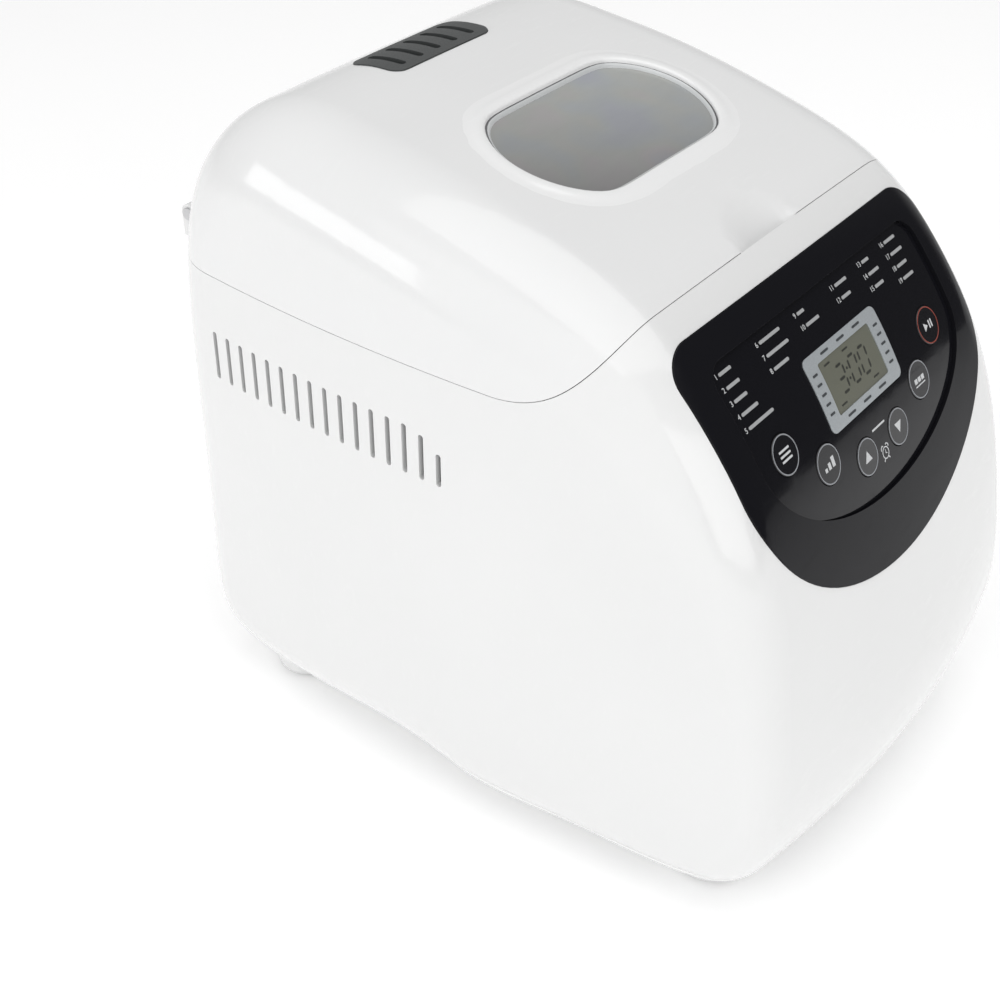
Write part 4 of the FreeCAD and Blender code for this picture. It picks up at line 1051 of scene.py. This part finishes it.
class BREAD_OT_window(Operator):
    """Builds the window: soft raised rim, dark gap line, pale inner bevel and sunk glass"""

    bl_idname = "bread.window"
    bl_label = "Window"

    straight = 0.0365  # half the straight run of the front and rear edges
    depth = 0.0033     # how far the mouldings round the glass reach below the lid's surface
    sunk = 0.0023      # top of the glass below the lid's surface
    thick = 0.0011     # thickness of the glass

    def outline(self, grow):
        """The window's plan: straight front and rear edges between two bowed sides."""
        low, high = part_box("window_gasket")
        middle_x, middle_y = (low.x + high.x) / 2, (low.y + high.y) / 2
        half_y, bulge = (high.y - low.y) / 2, (high.x - low.x) / 2
        straight = self.straight
        rise = bulge - straight
        radius = (half_y * half_y + rise * rise) / (2 * rise)
        sweep_half = math.asin(half_y / radius)
        points = []
        for side in (1, -1):
            for k in range(25):
                turn = -sweep_half + 2 * sweep_half * k / 24
                points.append(Vector((side * (bulge - radius + radius * math.cos(turn)),
                                      side * radius * math.sin(turn), 0)))
            for k in range(1, 16):
                points.append(Vector((side * (straight - 2 * straight * k / 16), side * half_y, 0)))
        count = len(points)
        for _ in range(2):
            points = [(points[i - 1] + points[i] * 2 + points[(i + 1) % count]) / 4 for i in range(count)]
        moved = []
        for i, point in enumerate(points):
            along = points[(i + 2) % count] - points[i - 2]
            out = along.cross(UP).normalized()
            moved.append(point + out * grow)
        for _ in range(2):
            moved = [(moved[i - 1] + moved[i] * 2 + moved[(i + 1) % count]) / 4 for i in range(count)]
        return [Vector((middle_x + p.x, middle_y + p.y, 0)) for p in moved]

    def surface(self):
        """A smooth height over plan, fitted to the lid round the window."""
        tree = tree_of("lid_shell")
        low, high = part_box("window_trim")
        reach = 0.016
        rows, heights = [], []
        for i in range(41):
            for j in range(33):
                x = low.x - reach + (high.x - low.x + 2 * reach) * i / 40
                y = low.y - reach + (high.y - low.y + 2 * reach) * j / 32
                place, normal, _, _ = tree.ray_cast(Vector((x, y, 0.4)), -UP)
                if place is None or normal.z < 0.8 or place.z < high.z - 0.025:
                    continue
                rows.append(self.terms(x, y))
                heights.append(place.z)
        found = np.linalg.lstsq(np.array(rows), np.array(heights), rcond=None)[0]
        return lambda x, y: float(np.dot(found, self.terms(x, y)))

    def terms(self, x, y):
        x, y = x * 20, y * 20
        return [1.0, y, y * y, y ** 3, y ** 4, x * x, x * x * y, x * x * y * y, x ** 4]

    def ring(self, name, height, profile, finish_name, stands_for=()):
        """A piece that runs round the window; its outline is (outward, up) from the lid's surface."""
        loops = []
        for grow, rise in profile:
            loops.append([Vector((p.x, p.y, height(p.x, p.y) + rise)) for p in self.outline(grow)])
        work = bmesh.new()
        strip_loft(work, loops, True, True)
        piece(name, to_mesh(name, work, 50.0, True), "lid", finish_name, stands_for)

    def execute(self, context):
        choice = look().window
        height = self.surface()
        wide, rise, drop = choice.rim_width, choice.rim_rise, choice.rim_drop
        depth, sunk, thick = self.depth, self.sunk, self.thick
        # the rim's finish is the lid plastic made lighter, a painted highlight on the raised halo
        self.ring("window_rim", height, [
            (0.0001, -0.0030), (0.0001, -drop * 0.3), (0.0004, rise * 0.2), (0.0010, rise * 0.72),
            (0.0018, rise * 0.95), (0.0028, rise), (0.0042, rise * 0.88), (wide * 0.62, rise * 0.56),
            (wide * 0.76, rise * 0.30), (wide * 0.90, rise * 0.11), (wide * 1.04, rise * 0.02),
            (wide * 1.2, -0.00008), (wide * 1.2, -0.0004), (0.0036, -0.0004), (0.0034, -0.0030)],
            "rim", ("window_trim",))
        self.ring("window_gap", height, [
            (-0.0008, -0.0030), (-0.0008, -drop), (0.0003, -drop), (0.0003, -0.0030)],
            "gasket", ("window_gasket",))
        self.ring("window_bevel", height, [
            (-0.0006, -depth), (-0.0006, -drop), (-0.0008, -drop * 0.8), (-0.0012, -drop),
            (-0.0017, -0.0018), (-0.0021, -0.0026), (-0.0023, -depth)], "window_edge")
        glass = bmesh.new()
        edge = self.outline(-0.0018)
        centre = sum(edge, Vector()) / len(edge)
        top, under = [], []
        for share in (1.0, 0.92, 0.8, 0.65, 0.5, 0.35, 0.2, 0.08):
            row = [centre + (p - centre) * share for p in edge]
            top.append([Vector((p.x, p.y, height(p.x, p.y) - sunk)) for p in row])
            under.append([Vector((p.x, p.y, height(p.x, p.y) - sunk - thick)) for p in row])
        rows = strip_loft(glass, under[::-1] + top)
        cap(glass, rows[-1], (centre.x, centre.y, height(centre.x, centre.y) - sunk))
        cap(glass, rows[0], (centre.x, centre.y, height(centre.x, centre.y) - sunk - thick), True)
        piece("window_pane", to_mesh("window_pane", glass, 50.0, True), "lid", "window", ("window_glass",))
        moulded("liner_glass", "inner_glass", 0.0003)
        return {"FINISHED"}


# ---- control panel --------------------------------------------------------------------------------
class BREAD_OT_panel(Operator):
    """Builds the gloss frame, the film, the bezel and the display cell"""

    bl_idname = "bread.panel"
    bl_label = "Control panel"

    def execute(self, context):
        moulded("panel_frame", "frame_gloss", 0.0007, steps=3)
        moulded("panel_film", "film_gloss", 0.0)
        moulded("display_bezel", "bezel", 0.00015)
        moulded("display", "display", 0.0001)
        return {"FINISHED"}


class BREAD_OT_print(Operator):
    """Prints the programme numbers with a bar for each name, the clock sign and the bezel ticks"""

    bl_idname = "bread.print"
    bl_label = "Panel print"

    # left edge, height of the first row, and the bar lengths of the rows, in millimetres
    blocks = ((-73.0, -29.7, (8.0, 8.5, 8.5, 11.0, 17.0)), (-45.3, -29.7, (14.5, 15.5, 10.5)),
              (-17.8, -29.4, (5.0, 9.5)), (9.7, -28.9, (9.0, 7.0)), (32.6, -29.4, (5.5, 8.5, 7.0)),
              (52.6, -29.9, (9.0, 9.5, 8.0, 8.5)))

    def execute(self, context):
        choice = look().panel
        panel = PanelPlace()
        pitch, tall, lift = 5.45 * MM, 2.1 * MM, choice.lift
        numerals = bmesh.new()
        spots, number = [], 1
        for left, first, lengths in self.blocks:
            for row, size in enumerate(lengths):
                x, w = left * MM, first * MM + row * pitch
                mesh = numeral_mesh(str(number), tall, x, -w, lift)
                numerals.from_mesh(mesh)
                bpy.data.meshes.remove(mesh)
                gap = (2.4 if number < 10 else 3.9) * MM
                bar_x, bar_w = x + gap + size * MM / 2, w - tall * 0.42
                scale = (size * MM, 0.0013, lift + 0.00012)
                spots.append(panel.spot(bar_x, bar_w, "panel_film", scale))
                number += 1
        panel.lay(numerals, "panel_film", "programme_numbers", "housing", "light_ink", False)
        repeated("programme_bars", spots, bar_shape("bar", 0.04), "housing", "bar_ink")
        self.clock(panel, lift)
        self.ticks(panel)
        return {"FINISHED"}

    def clock(self, panel, lift):
        """An alarm clock sign between the two arrow keys, with a short bar above it."""
        work = bmesh.new()
        cx, cy = 1.4 * MM, -36.5 * MM
        flat_solid(work, circle(2.5 * MM, cx, cy), lift, circle(2.05 * MM, cx, cy))
        for side in (-1, 1):
            ear = ((0.9, 2.9), (1.5, 3.3), (2.3, 2.9), (2.8, 2.2), (2.7, 1.6))
            foot = ((1.5, -2.1), (2.2, -3.0))
            for stroke in (ear, foot):
                band(work, [(cx + side * x * MM, cy + y * MM) for x, y in stroke], 0.5 * MM, lift)
        band(work, [(cx, cy + 1.4 * MM), (cx, cy), (cx + 1.0 * MM, cy - 0.5 * MM)], 0.4 * MM, lift)
        outline = ((-3.6, -25.6), (6.4, -25.6), (6.4, -24.8), (-3.6, -24.8))
        flat_solid(work, [(x * MM, y * MM) for x, y in outline], lift)
        panel.lay(work, "panel_film", "clock_sign", "housing", "light_ink")

    def ticks(self, panel):
        """Short dark ticks round the bezel, as beside the settings of a display."""
        half_x, half_w = 24.0, 13.1
        places = [(side * half_x, w, 3.4) for side in (-1, 1) for w in (-8.0, -4.0, 0.0, 4.0, 8.0)]
        places += [(x, side * half_w, 6.0) for side in (-1, 1) for x in (-12.5, 0.0, 12.5)]
        spots = []
        for x, w, size in places:
            spots.append(panel.spot(x * MM, w * MM, "display_bezel", (size * MM, 0.0010, 0.00008)))
        repeated("bezel_ticks", spots, bar_shape("tick", 0.1), "housing", "tick_ink")


class BREAD_OT_display(Operator):
    """Builds the display's figures from slanted segments"""

    bl_idname = "bread.display"
    bl_label = "Display figures"

    lit = {"0": "abcdef", "3": "abcdg"}

    def execute(self, context):
        panel = PanelPlace()
        work = bmesh.new()
        wide, tall, stroke, lean = 5.4 * MM, 10.4 * MM, 1.05 * MM, 0.12
        for index, digit in enumerate("300"):
            x = (-11.5, -2.0, 6.0)[index] * MM
            for segment in self.lit[digit]:
                self.segment(work, segment, x, -tall / 2, wide, tall, stroke, lean)
        for y in (-2.0 * MM, 2.0 * MM):
            dot = circle(0.6 * MM, -4.0 * MM, y, 12)
            flat_solid(work, [(px + y * lean, py) for px, py in dot], SEGMENT_THICK)
        for x, y, size in ((-14.0, 8.4, 4.0), (0.0, 8.4, 4.0), (-14.0, -8.4, 4.0), (12.0, -8.4, 4.0)):
            points = ((-0.5, -0.09), (0.5, -0.09), (0.5, 0.09), (-0.5, 0.09))
            mark = [((x + px * size) * MM, (y + py * size) * MM) for px, py in points]
            flat_solid(work, mark, SEGMENT_THICK)
        panel.lay(work, "display", "display_figures", "housing", "segments", reach=2 * PRINT_STEP)
        return {"FINISHED"}

    def segment(self, work, name, x, y, wide, tall, stroke, lean):
        """One bar of a seven-segment figure, with pointed ends, leaning forward."""
        half = tall / 2
        gap = stroke * 0.2
        flat = {"a": tall, "g": half, "d": 0.0}
        upright = {"f": (0.0, half), "b": (wide, half), "e": (0.0, 0.0), "c": (wide, 0.0)}
        if name in flat:
            base = flat[name]
            a, b = gap + stroke / 2, wide - gap - stroke / 2
            points = [(a, base), (a + stroke / 2, base + stroke / 2), (b - stroke / 2, base + stroke / 2),
                      (b, base), (b - stroke / 2, base - stroke / 2), (a + stroke / 2, base - stroke / 2)]
        else:
            side, base = upright[name]
            a, b = base + gap + stroke / 2, base + half - gap - stroke / 2
            points = [(side, a), (side + stroke / 2, a + stroke / 2), (side + stroke / 2, b - stroke / 2),
                      (side, b), (side - stroke / 2, b - stroke / 2), (side - stroke / 2, a + stroke / 2)]
        leaning = [(x + px + (y + py) * lean, y + py) for px, py in points]
        flat_solid(work, leaning, SEGMENT_THICK)


class BREAD_OT_keys(Operator):
    """Builds the six keys with their printed rings and signs"""

    bl_idname = "bread.keys"
    bl_label = "Keys"

    names = ("button_menu", "button_weight", "button_up", "button_down", "button_colour", "button_start")

    def execute(self, context):
        panel = PanelPlace()
        for name in self.names:
            moulded(name, "key_gloss", 0.0003)
            self.marks(panel, name)
        return {"FINISHED"}

    def marks(self, panel, name):
        points = [v.co for v in NODES[name].data.vertices]
        top = max((p - panel.centre).dot(panel.out) for p in points)
        face = [p for p in points if (p - panel.centre).dot(panel.out) > top - 0.0035]
        xs = [p.x for p in face]
        ws = [(p - panel.centre).dot(panel.down) for p in face]
        cx, cw = (min(xs) + max(xs)) / 2, (min(ws) + max(ws)) / 2
        radius = (max(xs) - min(xs)) / 2
        lift = look().panel.lift
        ring = bmesh.new()
        outer, inner = radius - 0.25 * MM, radius - 0.72 * MM
        flat_solid(ring, circle(outer, cx, -cw, 72), lift, circle(inner, cx, -cw, 72))
        ink = "start_ink" if name == "button_start" else "ring_ink"
        panel.lay(ring, name, name + "_ring", name, ink)
        sign = bmesh.new()
        for outline in self.sign(name):
            flat_solid(sign, [(cx + x * MM, -cw + y * MM) for x, y in outline], lift)
        panel.lay(sign, name, name + "_sign", name, "light_ink")

    def box(self, x0, x1, y0, y1):
        return [(x0, y0), (x1, y0), (x1, y1), (x0, y1)]

    def sign(self, name):
        """Outlines of the key's sign in millimetres about its middle."""
        arrow = [(-2.6, -1.9), (2.6, -1.9), (0.0, 2.4)]
        return {
            "button_menu": [self.box(-3.4, 3.4, y - 0.42, y + 0.42) for y in (-1.9, 0.0, 1.9)],
            "button_weight": [self.box(-3.5, -1.9, -2.2, -0.6), self.box(-0.9, 0.9, -2.2, 0.5),
                              self.box(1.9, 3.9, -2.2, 1.9)],
            "button_up": [arrow],
            "button_down": [[(x, -y) for x, y in arrow][::-1]],
            "button_colour": [self.box(-3.9, -1.7, -1.0, 1.0), self.box(-1.1, 1.1, -1.0, 1.0),
                              self.box(1.7, 3.9, -1.0, 1.0), self.box(-3.9, 3.9, -2.4, -1.9)],
            "button_start": [[(-3.2, -1.8), (-0.4, 0.0), (-3.2, 1.8)], self.box(0.6, 1.5, -1.7, 1.7),
                             self.box(2.3, 3.2, -1.7, 1.7)],
        }[name]


class BREAD_OT_electronics(Operator):
    """Builds the circuit boards with their parts, solder joints and screws"""

    bl_idname = "bread.electronics"
    bl_label = "Electronics"

    def execute(self, context):
        panel = PanelPlace()
        for node in ("control_board", "power_board"):
            moulded(node, "board", 0.0001)
        moulded("button_switches", "component", 0.0002)
        moulded("power_parts", "component", 0.0006)
        moulded("board_standoffs", "nylon", 0.0003)
        moulded("board_bracket", "zinc", 0.0003)
        screws("board_screws", "zinc", panel.out)
        self.joints()
        return {"FINISHED"}

    def joints(self):
        """Solder cones on the power board's front, in rows beside its parts."""
        low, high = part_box("power_board")
        work = bmesh.new()
        outline = ((0.0, 0.0), (1.0, 0.0), (0.62, 0.35), (0.3, 0.8), (0.22, 1.3), (0.0, 1.4))
        lathe(work, outline, Vector(), UP, 12)
        cone = to_mesh("solder", work, 40.0, True)
        turn = UP.rotation_difference(Vector((0, -1, 0))).to_matrix()
        spots = []
        for i in range(10):
            for j in range(3):
                x = low.x + 0.004 + i * (high.x - low.x - 0.008) / 9
                spots.append((Vector((x, low.y, low.z + 0.001 + j * 0.002)), turn, (0.0007, 0.0007, 0.0007)))
        repeated("solder_joints", spots, cone, "housing", "solder", seed=4, play=3.1)


# ---- oven, pan, kneader ---------------------------------------------------------------------------
class BREAD_OT_oven(Operator):
    """Builds the chamber with its pressed ribs, the element, its bushes and clips, and the sensor"""

    bl_idname = "bread.oven"
    bl_label = "Oven"

    flange = 0.0050                      # from the chamber's outer edge in to its inner face
    corner = 0.018                       # corner radius of the chamber
    rib_heights = (0.092, 0.148, 0.160)  # of the pressed ribs, above the floor

    def execute(self, context):
        moulded("oven_chamber", "chamber", 0.0)
        moulded("heating_element", "sheath", 0.0)
        moulded("element_bushes", "ceramic", 0.0005)
        moulded("element_clips", "zinc", 0.0004)
        moulded("temperature_sensor", "steel", 0.0004)
        moulded("pan_socket", "cast", 0.0005)
        low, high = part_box("oven_chamber")
        centre = middle("oven_chamber")
        half_x = (high.x - low.x) / 2 - self.flange
        half_y = (high.y - low.y) / 2 - self.flange
        rib = look().oven.rib
        profile = [(0.0003, -0.004), (-rib * 0.5, -0.0026), (-rib, -0.001), (-rib, 0.001),
                   (-rib * 0.5, 0.0026), (0.0003, 0.004)]
        work = bmesh.new()
        for height in self.rib_heights:
            sweep(work, level_ring(half_x, half_y, self.corner, centre, height, 12, 8), profile)
        piece("chamber_ribs", to_mesh("chamber_ribs", work, 60.0, True), "housing", "chamber")
        return {"FINISHED"}


class BREAD_OT_pan(Operator):
    """Builds the pan with its rolled rim and pressed beads, its bearing and its bail"""

    bl_idname = "bread.pan"
    bl_label = "Pan"

    rim = 0.0796      # half the width of the rolled rim
    narrower = 0.018  # how much less the pan's half depth is than its half width
    # height above the floor of each pressed bead, and how far up the tapered wall that is
    beads = ((0.080, 0.125), (0.086, 0.18), (0.158, 0.82))

    def execute(self, context):
        moulded("bread_pan", "coating", 0.0004)
        moulded("pan_bearing", "bronze", 0.0003)
        moulded("pan_handle", "steel", 0.0)
        bead = look().oven.bead
        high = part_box("bread_pan")[1]
        centre = middle("bread_pan")
        rim, narrower = self.rim, self.narrower
        height = high.z - 0.0012 - bead * 0.2
        profile = [(bead * x, bead * y) for x, y in circle(1.0, steps=14)]
        work = bmesh.new()
        sweep(work, level_ring(rim, rim - narrower, 0.0206, centre, height, 12, 8), profile)
        piece("pan_rim_bead", to_mesh("pan_rim_bead", work, 60.0, True), "pan", "coating")
        work = bmesh.new()
        profile = [(-0.0003, -0.0022), (0.0005, -0.0012), (0.0008, 0.0), (0.0005, 0.0012), (-0.0003, 0.0022)]
        for height, share in self.beads:
            x = 0.072 + 0.004 * share
            sweep(work, level_ring(x, x - narrower, 0.0155, centre, height, 12, 8), profile)
        piece("pan_beads", to_mesh("pan_beads", work, 60.0, True), "pan", "coating")
        return {"FINISHED"}


class BREAD_OT_kneader(Operator):
    """Builds the kneading blade and its shaft"""

    bl_idname = "bread.kneader"
    bl_label = "Kneader"

    def execute(self, context):
        moulded("kneading_blade", "coating", 0.0006, steps=3)
        moulded("pan_shaft", "cast", 0.0003)
        return {"FINISHED"}


# ---- drive ----------------------------------------------------------------------------------------
class BREAD_OT_drive(Operator):
    """Builds the pulleys, the ribbed belt, the motor and what holds them"""

    bl_idname = "bread.drive"
    bl_label = "Drive"

    def execute(self, context):
        for node in ("large_pulley", "motor_pulley"):
            moulded(node, "nylon", 0.0003)
        for node in ("drive_shaft", "motor_shaft"):
            moulded(node, "steel", 0.0003)
        moulded("motor", "motor_can", 0.0012, steps=3)
        moulded("motor_plate", "zinc", 0.0004)
        moulded("bearing_housing", "cast", 0.0005)
        moulded("plate_posts", "zinc", 0.0003)
        moulded("post_nuts", "zinc", 0.0003)
        screws("base_screws", "zinc")
        self.belt()
        self.vents()
        return {"FINISHED"}

    def belt(self):
        """A flat belt with three ribs along its inside, round both pulleys."""
        low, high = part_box("drive_belt")
        wheel, small = middle("large_pulley"), middle("motor_pulley")
        big_r = high.y - wheel.y
        small_r = small.y - low.y
        gap = (wheel - small).length
        lean = math.asin((big_r - small_r) / gap)
        path = []
        steps = 60
        for k in range(steps + 1):
            turn = -lean + (math.pi + 2 * lean) * k / steps
            path.append(Vector((wheel.x + big_r * math.cos(turn), wheel.y + big_r * math.sin(turn), 0)))
        steps = 24
        for k in range(steps + 1):
            turn = math.pi + lean + (math.pi - 2 * lean) * k / steps
            path.append(Vector((small.x + small_r * math.cos(turn), small.y + small_r * math.sin(turn), 0)))
        tall = high.z - low.z
        thick = 0.0018
        profile = [(0.0, 0.0002), (0.0, tall - 0.0002), (-0.0002, tall)]
        for k in range(3):
            top = tall - tall * k / 3
            profile += [(-thick, top - tall * 0.08), (-thick, top - tall * 0.19),
                        (-thick * 0.55, top - tall * 0.31)]
        profile += [(-0.0002, 0.0)]
        work = bmesh.new()
        sweep(work, [p + UP * low.z for p in path], profile)
        mesh = to_mesh("ribbed_belt", work, 25.0, True)
        piece("ribbed_belt", mesh, body_of("drive_belt"), "belt", ("drive_belt",))

    def vents(self):
        """Pressed louvres round the motor can."""
        low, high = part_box("motor")
        centre = middle("motor")
        radius = (high.x - low.x) / 2
        count = look().drive.slots
        work = bmesh.new()
        lower = [(-1, -1, 0), (1, -1, 0), (1, 1, 0), (-1, 1, 0)]
        upper = [(-0.7, -0.92, 1), (0.8, -0.92, 0.2), (0.8, 0.92, 0.2), (-0.7, 0.92, 1)]
        made = strip_loft(work, [[Vector(p) for p in lower], [Vector(p) for p in upper]])
        work.faces.new(made[0][::-1])
        work.faces.new(made[1])
        shape = to_mesh("louvre", work, 20.0, True)
        spots = []
        for k in range(count):
            angle = 2 * math.pi * k / count
            out = Vector((math.cos(angle), math.sin(angle), 0))
            turn = Matrix((out.cross(UP) * -1, UP, out)).transposed()
            place = Vector((centre.x, centre.y, low.z + 0.020)) + out * (radius - 0.0001)
            spots.append((place, turn, (0.0022, 0.009, 0.0009)))
        repeated("motor_louvres", spots, shape, "housing", "motor_can")


# ---- stage ----------------------------------------------------------------------------------------
class BREAD_OT_stage(Operator):
    """Builds the floor, the studio lights and the camera"""

    bl_idname = "bread.stage"
    bl_label = "Stage"

    floor_reach = 6.0
    dark_side = (0.645, -0.731, 0.22)  # the studio is darker in this direction
    # name, place, aim, width, height and power of each soft box
    lamps = (("left_softbox", (-1.9, -0.3, 1.0), (0, 0, 0.15), 3.0, 2.2, 7.5),
             ("rear_softbox", (-1.45, 1.3, 0.75), (0, 0, 0.2), 1.1, 0.6, 4.0),
             ("top_softbox", (-0.1, -0.4, 2.2), (0, 0, 0.2), 2.6, 2.2, 19.0),
             ("front_softbox", (-0.6, -2.1, 0.8), (0, 0, 0.15), 1.8, 1.2, 8.0))

    def lamp(self, name, place, aim, width, height, power):
        light = bpy.data.lights.new(name, "AREA")
        light.shape = "RECTANGLE"
        light.size, light.size_y = width, height
        light.energy = power
        lamp = bpy.data.objects.new(name, light)
        lamp.location = place
        lamp.rotation_euler = (Vector(aim) - Vector(place)).to_track_quat("-Z", "Y").to_euler()
        bpy.context.scene.collection.objects.link(lamp)

    def execute(self, context):
        choice = look().stage
        scene = context.scene
        work = bmesh.new()
        reach = self.floor_reach
        square = ((-1, -1), (1, -1), (1, 1), (-1, 1))
        work.faces.new([work.verts.new((x * reach, y * reach, -0.0002)) for x, y in square])
        mesh = to_mesh("floor", work)
        floor = bpy.data.objects.new("floor", mesh)
        scene.collection.objects.link(floor)
        paper = Finish("floor_paper", Specular_IOR_Level=0.2, Emission_Color=(1.0, 1.0, 1.0, 1.0),
                       Emission_Strength=choice.glow)
        grain = paper.noise(300.0, 3.0)
        base = tuple(choice.floor)
        paper.set(Base_Color=paper.blend(grain, shade(base, 0.995), base), Roughness=0.7 + grain * 0.1)
        mesh.materials.append(paper.material)
        world = bpy.data.worlds.new("studio")
        world.use_nodes = True
        background = world.node_tree.nodes["Background"]
        background.inputs["Color"].default_value = (1.0, 1.0, 1.0, 1.0)
        tree = world.node_tree
        toward = tree.nodes.new("ShaderNodeVectorMath")
        toward.operation = "DOT_PRODUCT"
        toward.inputs[1].default_value = Vector(self.dark_side).normalized()
        tree.links.new(tree.nodes.new("ShaderNodeTexCoord").outputs["Generated"], toward.inputs[0])
        fade = tree.nodes.new("ShaderNodeMapRange")
        for socket, value in zip(fade.inputs[1:5], (0.72, 0.92, choice.ambient, choice.ambient * 0.15)):
            socket.default_value = value
        tree.links.new(toward.outputs["Value"], fade.inputs[0])
        tree.links.new(fade.outputs[0], background.inputs["Strength"])
        scene.world = world
        for lamp in self.lamps:
            self.lamp(*lamp)
        data = bpy.data.cameras.new("camera")
        data.lens = choice.lens
        data.sensor_width = 36.0
        data.clip_start, data.clip_end = 0.01, 50.0
        camera = bpy.data.objects.new("camera", data)
        gaze = Vector(choice.gaze).normalized()
        turn = gaze.to_track_quat("-Z", "Y").to_matrix() @ Matrix.Rotation(choice.roll, 3, "Z")
        camera.matrix_world = Matrix.Translation(choice.stand) @ turn.to_4x4()
        scene.collection.objects.link(camera)
        scene.camera = camera
        scene.view_settings.view_transform = "Standard"
        return {"FINISHED"}


OPERATORS = (BREAD_OT_casing, BREAD_OT_lid, BREAD_OT_window, BREAD_OT_panel, BREAD_OT_print,
             BREAD_OT_display, BREAD_OT_keys, BREAD_OT_electronics, BREAD_OT_oven, BREAD_OT_pan,
             BREAD_OT_kneader, BREAD_OT_drive, BREAD_OT_stage)


class BREAD_PT_sidebar(Panel):
    """Lists the pieces of the bread machine"""

    bl_idname = "BREAD_PT_sidebar"
    bl_label = "Bread machine"
    bl_space_type = "VIEW_3D"
    bl_region_type = "UI"
    bl_category = "Bread machine"

    def draw(self, context):
        for operator in OPERATORS:
            self.layout.operator(operator.bl_idname)


GROUPS = (CasingLook, WindowLook, PanelLook, OvenLook, DriveLook, StageLook, MachineLook)
CLASSES = GROUPS + OPERATORS + (BREAD_PT_sidebar,)


def register():
    for kind in CLASSES:
        bpy.utils.register_class(kind)
    bpy.types.Scene.bread_machine = PointerProperty(type=MachineLook)


def unregister():
    del bpy.types.Scene.bread_machine
    for kind in reversed(CLASSES):
        bpy.utils.unregister_class(kind)


def main():
    register()
    for operator in OPERATORS:
        group, name = operator.bl_idname.split(".")
        getattr(getattr(bpy.ops, group), name)()


if __name__ == "__main__":
    main()
